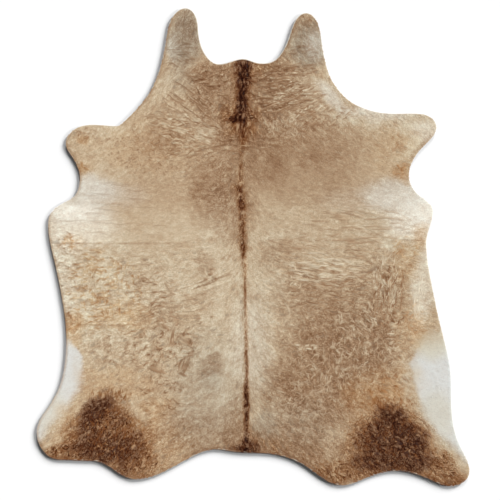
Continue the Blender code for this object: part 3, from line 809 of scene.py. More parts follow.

# Bands of painted shade, or of painted light, along the rims that face away from a light: where the
# light stands, how much farther round the hide they reach, and their width in metres
RimBand = namedtuple("RimBand", "turn reach_round width strength")
RIM_SHADE_LINE = RimBand(LIGHT_TURN, 0.3, 0.0036, 0.85)
RIM_SHADE = RimBand(math.pi / 2, -0.2, 0.0200, 0.30)
RIM_LIGHT = RimBand(LIGHT_TURN + math.pi, 0.2, 0.0100, 0.8)
RIM_SPOT_STEP = 0.2         # share of the way from one point of the rim to the next
RIM_SPOT_REACH = 1.6

# How the hair's shader turns the masks into light and dark
STREAK_DEPTH = 0.18         # how much a streak darkens or lightens the hair,
PIGMENT_SPREAD = 0.19       # and how much it changes the pigments,
LEAST_PIGMENT = 0.5         # which keep at least this share
# How darkly the painted shade of folds, wrinkles and rims shows
PAINTED_SHADE_DEPTH = 1.50
STREAK_RANGE = (-2.0, 2.0)
HAIR_ROUGHNESS = (0.52, 0.68)       # from the lightest to the darkest streaks
HAIR_GLOSS = 0.03
STRAND_SCALES = (5.0, 0.9, 40.0)        # strands across and along a lock, and their change by lock
STRAND_BUMP, STRAND_HEIGHT = 0.5, 0.0004
NOISE_RANGE = (0.3, 0.7)
STRAND_SHADE = (0.90, 1.10)
OUT_OF_DEPTH = 0.7          # share of a lock's length from which it is out of the others' shade: painted shade darkens it up to there
DEPTH_SHADE = (0.80, 1.04)
TUFT_SHADE = (-1.8, 1.8)
CALM_TUFTS = 0.85           # share of the locks' differences that calm hair loses
CALM_ORDER = 0.9            # and share of their disorder

# Bare leather: its darker and lighter tone, how fine its grain is, and the grain's height
Leather = namedtuple("Leather", "name low high scale roughness height")
CUT_EDGE = Leather("knife-cut edge", (196, 182, 160), (222, 212, 196), 1400.0, 0.8, 0.0002)
SUEDE = Leather("suede flesh side", (190, 174, 150), (222, 210, 190), 900.0, 0.95, 0.0005)
LEATHER_BUMP = 0.7
LEATHER_GLOSS = 0.2
LEATHER_SHEEN = 0.2
MOTTLE_SCALE = 18.0
ROOTS_SHADE = 0.72          # brightness of the skin under the hair: painted shade of the locks over it
ROOTS_GRAIN = 700.0
ROOTS_BUMP, ROOTS_HEIGHT = 0.6, 0.0006
ROOTS_SLOT, EDGE_SLOT, SUEDE_SLOT = range(3)        # the skin's materials
MAP_GAP = 0.005             # around the skin's two sides in its map

# The lamps: where each stands, in degrees from +X towards +Y and over the floor, its power, how many
# degrees across it is, and whether it lights the hide or the floor. The floor's lamps stand low, for
# the soft shadow along the edge.
LAMPS = table("name turn rise power softness lights", (
    ("key light", math.degrees(LIGHT_TURN), 34, 3.02, 9, "hide"),
    ("top light", 100, 78, 1.56, 90, "hide"),
    ("right floor light", 8, 4.3, 12.0, 4.6, "floor"),
    ("corner floor light", 45, 3.6, 27.0, 4.8, "floor"),
    ("upper floor light", 82, 4.3, 12.0, 4.6, "floor"),
))
FLOOR_REACH = 12.0
FLOOR_COLOUR = (0.87, 0.87, 0.87, 1.0)
FLOOR_DROP = 0.0002         # the floor lies this far under the hide
WALL_GLOW = 0.08            # light from all around; the camera sees the studio's wall as white
LENS, SENSOR_WIDTH = 85, 36         # millimetres


def remove_start_objects():
    """Blender's own cube, lamp and camera, where its startup file has them."""
    for name in ("Cube", "Light", "Camera"):
        item = bpy.data.objects.get(name)
        if item is not None:
            bpy.data.objects.remove(item, do_unlink=True)


def add_object(name, data):
    made = bpy.data.objects.new(name, data)
    bpy.context.collection.objects.link(made)
    return made


# Places and noise


def fade(low, high, value):
    """0 below low, 1 above high, with a smooth rise between."""
    t = np.clip((value - low) / (high - low), 0, 1)
    return t * t * (3 - 2 * t)


def column(rows, name):
    return np.array([getattr(row, name) for row in rows], dtype=float)


def at_height(rows, name, py):
    """A column's values at heights of the photograph, read between its rows."""
    return np.interp(py, column(rows, "photo_y"), column(rows, name))


def in_metres(across, along):
    return np.array([across * HALF_WIDTH, along * HALF_LENGTH])


def hide_place(px, py):
    """Where a pixel of the photograph lies on the hide, in metres."""
    return (px - PHOTO_MIDDLE_X) * PHOTO_PIXEL, (PHOTO_MIDDLE_Y - py) * PHOTO_PIXEL


def spine_across(y):
    """Where the spine lies, in metres across, at each y."""
    along = column(SPINE[::-1], "along") * HALF_LENGTH
    return np.interp(y, along, column(SPINE[::-1], "across") * HALF_WIDTH)


def mixed(corner, share_x, share_y):
    """A value inside a square, from those at its corners, which are named by steps of 0 or 1."""
    near = corner(0, 0) * (1 - share_x) + corner(1, 0) * share_x
    far = corner(0, 1) * (1 - share_x) + corner(1, 1) * share_x
    return near * (1 - share_y) + far * share_y


def lattice_noise(bump, seed):
    """Smooth noise from -1 to 1 on the grid."""
    lattice = np.random.default_rng(seed).uniform(-1.0, 1.0, (NOISE_TILE, NOISE_TILE))
    x = GRID_X / bump
    y = GRID_Y / bump
    ix = np.floor(x).astype(np.int64)
    iy = np.floor(y).astype(np.int64)

    def corner(right, up):
        return lattice[(ix + right) % NOISE_TILE, (iy + up) % NOISE_TILE]

    return mixed(corner, fade(0, 1, x - ix), fade(0, 1, y - iy))


def cloud_noise(cloud):
    """Lattice noise with finer, weaker noise laid over it."""
    total = np.zeros_like(GRID_X)
    for layer in range(cloud.layers):
        total += lattice_noise(cloud.bump / 2**layer, cloud.seed + layer) / 2**layer
    return total / (2 - 2 ** (1 - cloud.layers))


def grid_sample(field, columns, rows):
    """A grid field read between its cells."""
    columns = np.clip(columns, 0, field.shape[1] - GRID_END)
    rows = np.clip(rows, 0, field.shape[0] - GRID_END)
    ix = columns.astype(np.int64)
    iy = rows.astype(np.int64)

    def corner(right, up):
        return field[iy + up, ix + right]

    return mixed(corner, columns - ix, rows - iy)


def grid_place(x, y):
    """The column and row of the grid at points of the hide."""
    return (x - GRID_X[0, 0]) / CELL, (y - GRID_Y[0, 0]) / CELL


def read_field(field, x, y):
    """A grid field's values at points of the hide."""
    return grid_sample(field, *grid_place(x, y))


# The outline, as in the CAD part


def outline_stretch(here, there):
    """Points from one mark up to the next, on a curve that keeps both headings and nears an arc."""
    start = in_metres(here.across, here.along)
    end = in_metres(there.across, there.along)
    start_heading = math.radians(here.heading)
    end_heading = math.radians(there.heading)
    turn = (end_heading - start_heading + math.pi) % (2 * math.pi) - math.pi
    chord = np.linalg.norm(end - start)
    pull = chord / math.cos(turn / 4) ** 2
    leave = pull * np.array([math.cos(start_heading), math.sin(start_heading)])
    arrive = pull * np.array([math.cos(end_heading), math.sin(end_heading)])
    steps = max(2, math.ceil(chord / RIM_STEP), math.ceil(abs(turn) / RIM_TURN))
    t = np.arange(steps)[:, None] / steps
    return ((2 * t**3 - 3 * t**2 + 1) * start + (t**3 - 2 * t**2 + t) * leave
            + (3 * t**2 - 2 * t**3) * end + (t**3 - t**2) * arrive)


def outline_points():
    """The cut edge as a closed ring, counterclockwise as seen from above."""
    following = (*OUTLINE[1:], OUTLINE[0])
    return np.vstack([outline_stretch(*pair) for pair in zip(OUTLINE, following)])[::-1]


def ring_inwards(ring):
    """Unit directions square to the ring's run, into the hide."""
    run = np.roll(ring, -1, axis=0) - np.roll(ring, 1, axis=0)
    run /= np.linalg.norm(run, axis=1)[:, None]
    return np.column_stack([-run[:, 1], run[:, 0]])


def inside_ring(points, ring):
    """Which points lie inside the ring, by counting the ring's crossings to their right."""
    crossings = np.zeros(len(points), dtype=int)
    for start, end in zip(ring, np.roll(ring, -1, axis=0)):
        rows = np.flatnonzero((points[:, 1] < start[1]) != (points[:, 1] < end[1]))
        share = (points[rows, 1] - start[1]) / (end[1] - start[1])
        crossings[rows] += points[rows, 0] < start[0] + share * (end[0] - start[0])
    return crossings % 2 == 1


def nearest_on_ring(points, ring):
    """For each point, the index of the nearest ring point and its distance."""
    index = np.zeros(len(points), dtype=int)
    distance = np.zeros(len(points))
    block = 4000
    for start in range(0, len(points), block):
        offsets = points[start:start + block, None, :] - ring[None, :, :]
        squares = (offsets**2).sum(axis=2)
        index[start:start + block] = squares.argmin(axis=1)
        distance[start:start + block] = np.sqrt(squares.min(axis=1))
    return index, distance


# Heights of the hair side


def fold_place(fold, x, y):
    """How strong a fold is at each point, and how far beside its line the point lies."""
    slant = math.radians(fold.slant)
    middle = in_metres(fold.across, fold.along)
    ahead = (x - middle[0]) * math.cos(slant) + (y - middle[1]) * math.sin(slant)
    beside = (y - middle[1]) * math.cos(slant) - (x - middle[0]) * math.sin(slant)
    arch = np.clip(1 - (ahead / (fold.length / 2)) ** 2, 0, 1)
    return arch, beside - fold.bow * arch


def hair_side_height(x, y):
    """Height of the CAD part's hair side over the floor, away from the rim."""
    from_spine = x - spine_across(y)
    back = np.exp(-(from_spine / BACK_HALF_WIDTH) ** 2)
    height = BELLY_THICKNESS + (BACK_THICKNESS - BELLY_THICKNESS) * back
    turn = 2 * math.pi / SWELL_LENGTH
    swell = np.sin(turn * (x + SWELL_SKEW * y))
    height += SWELL_RISE * swell * np.sin(turn * (SWELL_STEEP * y - SWELL_LEAN * x))
    height += SPINE_RIDGE_RISE * np.clip(1 - np.abs(from_spine) / (SPINE_RIDGE_WIDTH / 2), 0, 1)
    for fold in FOLDS:
        arch, beside = fold_place(fold, x, y)
        height += fold.rise * np.sqrt(arch) * np.clip(1 - np.abs(beside) / (fold.width / 2), 0, 1)
    return height


def skin_height(x, y, ring):
    """Height of the skin's grain side, which thins towards the cut edge."""
    height = hair_side_height(x, y) - HAIR_DEPTH
    inset = nearest_on_ring(np.column_stack([x, y]), ring)[1]
    return GRAIN_EDGE_HEIGHT + (height - GRAIN_EDGE_HEIGHT) * fade(0, RIM_TAPER, inset)


# How the hair lies


def patch_mask(patch, px, py):
    """One patch's strength at points given in photo pixels."""
    slant = math.radians(patch.slant)
    right = px - patch.photo_x
    down = py - patch.photo_y
    u = right * math.cos(slant) - down * math.sin(slant)
    v = right * math.sin(slant) + down * math.cos(slant)
    out = np.sqrt((u / patch.reach_x) ** 2 + (v / patch.reach_y) ** 2)
    return patch.strength * (1 - fade(1 - patch.soft, 1 + patch.soft, out))


def patches_mask(rows, px=PIXEL_X, py=PIXEL_Y):
    """Several patches over each other."""
    bare = np.ones_like(px)
    for patch in rows:
        bare *= 1 - patch_mask(patch, px, py)
    return 1 - bare


def hair_lie():
    """The direction that the hair's tips point in, as unit steps across and along, on the grid."""
    from_spine = GRID_X - spine_across(GRID_Y)
    spread = np.clip(np.abs(from_spine) / PARTING_REACH, 0, 1)
    turn = at_height(LIES, "turn", PIXEL_Y) * spread * (2 - spread) * np.sign(from_spine)
    turn += SWAY_TURN * cloud_noise(LIE_SWAY)
    turn += RUFFLE_TURN * patches_mask(RUFFLED) * cloud_noise(RUFFLES)
    heading = np.radians(turn - 90)
    right = PIXEL_X - WHORL_X
    down = PIXEL_Y - WHORL_Y
    whorl = np.exp(-(right**2 + down**2) / WHORL_REACH**2)
    out = np.hypot(right, down) + WHORL_CORE
    u = np.cos(heading) * (1 - whorl) + whorl * right / out
    v = np.sin(heading) * (1 - whorl) - whorl * down / out
    size = np.hypot(u, v) + 1e-6
    return u / size, v / size


def walk(u, v, steps):
    """Grid places reached by following (u, v) a cell at a time, both ways, from every cell."""
    rows, columns = np.indices(u.shape).astype(np.float32)
    places = [(columns, rows)]
    for sense in (1, -1):
        here_x = columns
        here_y = rows
        for _ in range(steps):
            ix = np.clip(np.rint(here_x).astype(np.int64), 0, u.shape[1] - 1)
            iy = np.clip(np.rint(here_y).astype(np.int64), 0, u.shape[0] - 1)
            here_x = here_x + np.float32(sense) * u[iy, ix].astype(np.float32)
            here_y = here_y + np.float32(sense) * v[iy, ix].astype(np.float32)
            places.append((here_x, here_y))
    return places


def combed(cloud, places):
    """Noise averaged along a walk, so that it runs in streaks, scaled to a spread of 1."""
    field = cloud_noise(cloud)
    total = np.zeros_like(field)
    for columns, rows in places:
        total += grid_sample(field, columns, rows)
    total -= total.mean()
    return total / total.std()


# The coat's masks on the grid


def white_side(edge, ends, outwards, px, py):
    """The white belly edge on one side; outwards is -1 on the left and 1 on the right."""
    half_fade = at_height(edge, "fade", py) / 2
    side = fade(-half_fade, half_fade, outwards * (px - at_height(edge, "photo_x", py)))
    side *= fade(*(edge[0].photo_y + shift for shift in ends[0]), py)
    side *= 1 - fade(*(edge[-1].photo_y + shift for shift in ends[1]), py)
    return side


def stripe_mask(strand):
    """The dark line along the spine, with a ragged edge."""
    rag = STRIPE_RAG * cloud_noise(STRIPE_RAGS)
    half_width = at_height(STRIPES, "half_width", PIXEL_Y) * (1 + rag + STRIPE_STRAND_RAG * strand)
    out = np.abs(PIXEL_X - at_height(STRIPES, "centre", PIXEL_Y)) / half_width
    top, foot = STRIPE_ENDS
    there = (PIXEL_Y > STRIPES[0].photo_y - top) & (PIXEL_Y < STRIPES[-1].photo_y + foot)
    strength = at_height(STRIPES, "strength", PIXEL_Y)
    return strength * (1 - fade(STRIPE_CORE, STRIPE_RIM, out)) * there


def stroke_arcs(row, dice, steps, aside=0.0):
    """One patch's strokes as curling arcs in photo pixels, with their half widths and strengths.

    aside shifts them towards the light by a share of their width."""
    out = SCATTER_REACH * np.sqrt(dice.uniform(0, 1, row.count))
    round_turn = dice.uniform(0, 2 * math.pi, row.count)
    slant = math.radians(row.slant)
    u = out * np.cos(round_turn) * row.reach_x
    v = out * np.sin(round_turn) * row.reach_y
    turn = np.radians(row.turn + row.spread * dice.normal(0, 1, row.count))
    # Each runs so that the light falls on its left side, where a wrinkle's painted light goes
    turn += math.pi * (np.sin(LIGHT_TURN - turn) < 0)
    half = row.length / 2 * dice.uniform(*LENGTHS, row.count)
    curl = min(1, STRAIGHT_LENGTH / row.length)
    bow = half * curl * dice.uniform(-MOST_BOW, MOST_BOW, row.count)
    wave = half * curl * dice.uniform(-MOST_WAVE, MOST_WAVE, row.count)
    strength = row.strength * (1 - fade(SCATTER_FADE, SCATTER_REACH, out))
    strength = strength * dice.uniform(*STRENGTHS, row.count)
    t = np.linspace(-1, 1, steps)
    ahead = half[:, None] * t
    beside = bow[:, None] * (1 - t**2) + wave[:, None] * np.sin(math.pi * t) + aside * row.width
    cos_turn = np.cos(turn)[:, None]
    sin_turn = np.sin(turn)[:, None]
    right = (u * math.cos(slant) - v * math.sin(slant))[:, None]
    up = (u * math.sin(slant) + v * math.cos(slant))[:, None]
    px = row.photo_x + right + ahead * cos_turn - beside * sin_turn
    py = row.photo_y - up - ahead * sin_turn - beside * cos_turn
    widths = dice.uniform(*WIDTHS, row.count)
    half_width = row.width / 2 * np.outer(widths, 1 - STROKE_TAPER * t**2)
    return px, py, half_width, strength[:, None] * (1 - t**4)


def stamp(field, x, y, width, strength, reach):
    """Raises the field to soft round spots at the given places of the hide, in metres."""
    columns, rows = grid_place(x, y)
    near_columns = np.rint(columns).astype(np.int64)
    near_rows = np.rint(rows).astype(np.int64)
    cells = math.ceil(reach / CELL)
    for shift_x in range(-cells, cells + 1):
        for shift_y in range(-cells, cells + 1):
            ix = np.clip(near_columns + shift_x, 0, field.shape[1] - 1)
            iy = np.clip(near_rows + shift_y, 0, field.shape[0] - 1)
            square = ((ix - columns) ** 2 + (iy - rows) ** 2) * CELL**2
            np.maximum.at(field, (iy, ix), strength * np.exp(-(square / width**2) ** 2))


def stroke_field(tone, aside=0.0):
    """All strokes of one tone as soft arcs on the grid."""
    field = np.zeros_like(GRID_X)
    dice = np.random.default_rng(tone.seed)
    for row in tone.strokes:
        steps = max(3, math.ceil(STAMP_STEPS * row.length * PHOTO_PIXEL / CELL))
        px, py, half_width, strength = stroke_arcs(row, dice, steps, aside)
        width = STAMP_WIDTH * half_width * PHOTO_PIXEL
        stamp(field, *hide_place(px, py), width, strength, STAMP_REACH * row.width * PHOTO_PIXEL)
    return field


def crease_shade_and_light():
    """Painted shade along the line of each fold, and painted light on its lit upper side."""
    dark = np.zeros_like(GRID_X)
    light = np.zeros_like(GRID_X)
    dashes = np.clip(DASH_LEVEL + DASH_CHANGE * cloud_noise(CREASE_DASHES), 0, 1)
    wander = CREASE_SWAY * cloud_noise(CREASE_WANDER)
    for fold in FOLDS:
        arch, beside = fold_place(fold, GRID_X, GRID_Y)
        strength = fold.shade * np.sqrt(arch) * dashes
        line = CREASE_SHADE * strength * np.exp(-((beside + wander) / CREASE_WIDTH) ** 2)
        above = (beside + wander - 2 * CREASE_WIDTH) / CREASE_WIDTH
        dark = np.maximum(dark, line)
        light = np.maximum(light, CREASE_LIGHT * strength * np.exp(-above**2))
    return dark, light


def rim_field(band, ring):
    """Painted shade, or painted light, in a band along those rims that face away from its light."""
    towards_light = np.array([math.cos(band.turn), math.sin(band.turn)])
    away = np.clip(band.reach_round + ring_inwards(ring) @ towards_light, 0, 1)
    stops = np.arange(len(ring) + 1)
    fine = np.arange(0, len(ring), RIM_SPOT_STEP)
    x, y, strength = (np.interp(fine, stops, np.append(values, values[0]))
                      for values in (ring[:, 0], ring[:, 1], away))
    field = np.zeros_like(GRID_X)
    stamp(field, x, y, band.width, strength, RIM_SPOT_REACH * band.width)
    return band.strength * field


def coat_fields(u, v, ring):
    """Every mask and streak field of the coat by name, and the hair's relief."""
    along = walk(u, v, CLUMP_STEPS)
    short = along[:1 + STRAND_STEPS] + along[1 + CLUMP_STEPS:1 + CLUMP_STEPS + STRAND_STEPS]
    strand = combed(STRANDS, short)
    clump = combed(CLUMPS, along)
    blotch = combed(BLOTCHES, short)
    wander_x = cloud_noise(WANDER_ACROSS)
    wander_y = cloud_noise(WANDER_DOWN)

    def wandered(warp):
        return PIXEL_X + warp * wander_x, PIXEL_Y + warp * wander_y

    # The markings
    masks = {}
    for marking in (*PALE_COATS, *PIGMENTS, IVORY):
        masks[marking.name] = patches_mask(marking.patches, *wandered(marking.warp))
    masks["white"] = np.maximum(
        white_side(LEFT_WHITE, LEFT_WHITE_ENDS, -1, *wandered(WHITE_WARP)),
        white_side(RIGHT_WHITE, RIGHT_WHITE_ENDS, 1, *wandered(WHITE_WARP)))
    for name in ("cream", "fawn", "gold"):
        uneven = masks[name] * (1 + TINT_BLOTCH * blotch + TINT_CLUMP * clump)
        masks[name] = np.clip(uneven, 0, MOST_TINT)
    edge = EDGE_STRAND * strand + EDGE_CLUMP * clump + EDGE_BLOTCH * blotch
    for name, low in BROWN_LOWS:
        near = fade(*EDGE_SETS_IN, masks[name])
        masks[name] = fade(low, BROWN_HIGH, masks[name] + edge * near)

    # The stripe and the strokes over them
    stripe = stripe_mask(strand)
    drawn = {tone.name: stroke_field(tone) for tone in TONES}
    pale = drawn["pale"] * (1 - fade(0, STRIPE_HIDES, stripe))
    masks["dark"] = np.maximum(masks["dark"], fade(*STRIPE_DARK, stripe))
    chestnut = np.maximum.reduce([masks["chestnut"], masks["dark"], fade(*STRIPE_BROWN, stripe),
                                  DARK_HAIR_BROWN * drawn["dark"]])
    masks["chestnut"] = chestnut
    masks["fawn"] = np.maximum(masks["fawn"], drawn["brown"]) * (1 - PALE_OVER_FAWN * pale)
    masks["fawn"] *= 1 - chestnut
    masks["gold"] *= 1 - chestnut
    masks["ginger"] = np.maximum(masks["ginger"], drawn["golden"]) * (1 - chestnut)
    masks["cream"] = np.maximum(masks["cream"], PALE_CREAM * pale * (1 - chestnut))

    # Where the hair is calm: 1 where it lies smooth, below 0 where it is livelier than elsewhere
    calm = np.maximum(masks["white"], patches_mask(SMOOTH))
    for name, share in CALM_SHARES:
        calm = np.maximum(calm, share * masks[name])
    lively = np.maximum(LIVELY_BROWN * chestnut, patches_mask(LIVELY))
    masks["calm"] = np.clip(calm, 0, 1) * (1 - chestnut) - lively

    # Light and dark in the hair: streaks in the hair's own tone, and painted light and painted shade
    # along folds, wrinkles and rims
    crease_shade, light_crease = crease_shade_and_light()
    light_crease = np.maximum(light_crease, stroke_field(WRINKLE_TONE, LIT_SIDE))
    wrinkle_groove_and_shade = drawn["wrinkle"]
    streak = STREAK_STRAND * strand + STREAK_CLUMP * clump + STREAK_BLOTCH * blotch
    streak = (1 - STREAK_CALM * masks["calm"]) * streak
    streak *= 1 + STREAK_BROWN * chestnut
    # Painted light on the lit sides of folds, wrinkles and rims adds to the streaks; painted shade in
    # folds, wrinkles and along rims makes its own mask
    masks["streak"] = streak + LIGHT_LINE * light_crease + rim_field(RIM_LIGHT, ring)
    masks["crease"] = np.maximum.reduce([crease_shade, wrinkle_groove_and_shade, rim_field(RIM_SHADE_LINE, ring),
                                         rim_field(RIM_SHADE, ring)])
    relief = WRINKLE_RISE * (light_crease - wrinkle_groove_and_shade)
    relief += CLUMP_RISE * (1 - masks["calm"]) * clump
    return masks, relief


# Meshes


def values_of(items, name, kind=np.float32, size=1):
    """A value, or size values, for each of a mesh's parts."""
    values = np.empty(size * len(items), dtype=kind)
    items.foreach_get(name, values)
    return values if size == 1 else values.reshape(-1, size)


def store(data, name, values, kind="FLOAT", field="value"):
    """Keeps a value, or a vector, for each point of a mesh."""
    layer = data.attributes.new(name, kind, "POINT")
    layer.data.foreach_set(field, np.ascontiguousarray(values, dtype=np.float32).ravel())


def lay_map(data, shares):
    """A map named OFBake: for each corner of a face, its place in the square."""
    layer = data.uv_layers.new(name="OFBake")
    layer.data.foreach_set("uv", shares.astype(np.float32).ravel())


def lay_flat_map(data):
    """The piece as seen from above, filling the square."""
    places = values_of(data.vertices, "co", size=3)[:, :2]
    low = places.min(axis=0)
    size = places.max(axis=0) - low
    lay_map(data, (places[values_of(data.loops, "vertex_index", np.int32)] - low) / size)


def lay_skin_map(data):
    """The hair side in the left half of the square and the suede in the right half."""
    places = values_of(data.vertices, "co", size=3)[values_of(data.loops, "vertex_index", np.int32)]
    is_suede = np.repeat(values_of(data.polygons, "material_index", np.int32) == SUEDE_SLOT, 3)
    share_x = (places[:, 0] + HALF_WIDTH) / (2 * HALF_WIDTH)
    share_y = (places[:, 1] + HALF_LENGTH) / (2 * HALF_LENGTH)
    half = 0.5
    across = MAP_GAP + (half - 2 * MAP_GAP) * share_x + half * is_suede
    lay_map(data, np.column_stack([across, share_y]))


# The skin


def points_inside(spacing, ring):
    """Staggered rows of evenly spaced points inside the ring, clear of it."""
    rows = []
    for row, y in enumerate(np.arange(-HALF_LENGTH, HALF_LENGTH, spacing * math.sqrt(3) / 2)):
        xs = np.arange(-HALF_WIDTH, HALF_WIDTH, spacing) + spacing / 2 * (row % 2)
        rows.append(np.column_stack([xs, np.full(len(xs), y)]))
    grid = np.vstack(rows)
    grid = grid[inside_ring(grid, ring)]
    return grid[nearest_on_ring(grid, ring)[1] > GRID_CLEARANCE * spacing]


def fill_ring(mesh, ring_verts, inner_verts, facing_up, slot):
    """Triangles over the ring and the points inside it."""
    verts = ring_verts + inner_verts
    places = [vert.co.to_2d() for vert in verts]
    border = [list(range(len(ring_verts)))]
    inside_only = 1
    least_gap = 1e-7
    filled = delaunay_2d_cdt(places, [], border, inside_only, least_gap)
    origins = filled[3]
    for face in filled[2]:
        corners = [verts[origins[index][0]] for index in face]
        made = mesh.faces.new(corners if facing_up else reversed(corners))
        made.material_index = slot


def join_rings(mesh, lower, upper, slot):
    """A strip of faces between two rings of equal count."""
    for index in range(len(lower)):
        following = (index + 1) % len(lower)
        made = mesh.faces.new((lower[index], lower[following], upper[following], upper[index]))
        made.material_index = slot


def make_skin(ring, materials):
    """The tanned skin: a thin closed sheet, suede below and grain with hair roots above."""
    inwards = ring_inwards(ring)
    nap = ring + NAP_INSET * inwards
    top = np.vstack([nap, points_inside(SKIN_GRID, nap)])
    heights = skin_height(top[:, 0], top[:, 1], ring)
    foot = ring + FOOT_INSET * inwards
    mesh = bmesh.new()

    def level(points, height):
        return [mesh.verts.new((x, y, height)) for x, y in points]

    foot_verts = level(foot, 0)
    edge_verts = level(ring, CUT_EDGE_HEIGHT)
    grain_verts = level(ring + GRAIN_EDGE_INSET * inwards, GRAIN_EDGE_HEIGHT)
    top_verts = [mesh.verts.new((x, y, z)) for (x, y), z in zip(top, heights)]
    under_verts = level(points_inside(FOOT_GRID, foot), 0)
    nap_verts = top_verts[:len(nap)]
    join_rings(mesh, foot_verts, edge_verts, EDGE_SLOT)
    join_rings(mesh, edge_verts, grain_verts, EDGE_SLOT)
    join_rings(mesh, grain_verts, nap_verts, ROOTS_SLOT)
    fill_ring(mesh, nap_verts, top_verts[len(nap):], True, ROOTS_SLOT)
    fill_ring(mesh, foot_verts, under_verts, False, SUEDE_SLOT)
    bmesh.ops.triangulate(mesh, faces=[face for face in mesh.faces if len(face.verts) > 3])

    data = bpy.data.meshes.new("hide_skin")
    mesh.to_mesh(data)
    mesh.free()
    for material in materials:
        data.materials.append(material)
    data.shade_smooth()
    data.set_sharp_from_angle(angle=SMOOTH_EDGE)
    return add_object("hide_skin", data)


def guide_hair(data, ring, u, v, masks):
    """Stores on the skin its masks, how the hair lies and its room up to the cut edge."""
    x, y, _ = values_of(data.vertices, "co", size=3).astype(float).T
    lie_x = read_field(u, x, y)
    lie_y = read_field(v, x, y)
    store(data, "hair lie", np.column_stack([lie_x, lie_y, np.zeros_like(x)]),
          "FLOAT_VECTOR", "vector")
    index, distance = nearest_on_ring(np.column_stack([x, y]), ring)
    outwards = -ring_inwards(ring)[index]
    towards_edge = lie_x * outwards[:, 0] + lie_y * outwards[:, 1]
    room = (distance + EDGE_OVERHANG) / np.clip(towards_edge, STEEPEST_EXIT, 1)
    store(data, "hair room", np.clip(room, 0, 2 * LOCK_LENGTH))
    for name, field in masks.items():
        store(data, name, read_field(field, x, y))


# Node trees and materials


def feed(tree, node, feeds):
    """Sets or links a node's inputs, given by their names or places."""
    for place, value in feeds.items():
        if isinstance(value, bpy.types.NodeSocket):
            tree.links.new(value, node.inputs[place])
        else:
            node.inputs[place].default_value = value


def put(tree, kind, feeds=None, **settings):
    """Adds a node with its settings and inputs, and returns its outputs."""
    node = tree.nodes.new(kind)
    for name, value in settings.items():
        setattr(node, name, value)
    feed(tree, node, feeds or {})
    return node.outputs


def calculate(tree, operation, *values, kind="ShaderNodeMath"):
    """The result of a calculation on values and links."""
    return put(tree, kind, dict(enumerate(values)), operation=operation)[0]


def vector_of(tree, x, y, z):
    return put(tree, "ShaderNodeCombineXYZ", {"X": x, "Y": y, "Z": z})[0]


def map_range(tree, value, low, high, new_low, new_high):
    feeds = {"Value": value, "From Min": low, "From Max": high, "To Min": new_low, "To Max": new_high}
    return put(tree, "ShaderNodeMapRange", feeds)["Result"]


def attribute(tree, name):
    """A mask or a value that the mesh holds, in a material."""
    return put(tree, "ShaderNodeAttribute", attribute_name=name)["Fac"]


def new_group(name, kind, inputs, outputs):
    """A node group with named inputs and their values, and named outputs."""
    group = bpy.data.node_groups.new(name, kind)
    for label, socket, value in inputs:
        made = group.interface.new_socket(label, in_out="INPUT", socket_type="NodeSocket" + socket)
        if value is not None:
            made.default_value = value
    for label, socket in outputs:
        group.interface.new_socket(label, in_out="OUTPUT", socket_type="NodeSocket" + socket)
    return group, put(group, "NodeGroupInput")


def linear(colour):
    """A colour from the photo's 0 to 255 scale as linear light."""
    share = np.array(colour, dtype=float) / 255
    light = np.where(share <= 0.04045, share / 12.92, ((share + 0.055) / 1.055) ** 2.4)
    return (*light, 1.0)


def stain(colour, ground):
    """The filter that turns the ground into the colour."""
    red, green, blue = (wanted / bare for wanted, bare in
                        zip(linear(colour)[:3], linear(ground)[:3]))
    return (red, green, blue, 1.0)


def pigment_group():
    """Stains a colour through a pigment's own filter, deeper where there is more of it."""
    group, given = new_group("pigment", "ShaderNodeTree", (
        ("Colour", "Color", None), ("Filter", "Color", None), ("Amount", "Float", 1.0),
    ), (("Colour", "Color"),))
    vector_math = "ShaderNodeVectorMath"
    deeper = calculate(group, "POWER", given["Filter"], given["Amount"], kind=vector_math)
    stained = calculate(group, "MULTIPLY", given["Colour"], deeper, kind=vector_math)
    put(group, "NodeGroupOutput", {"Colour": stained})
    return group


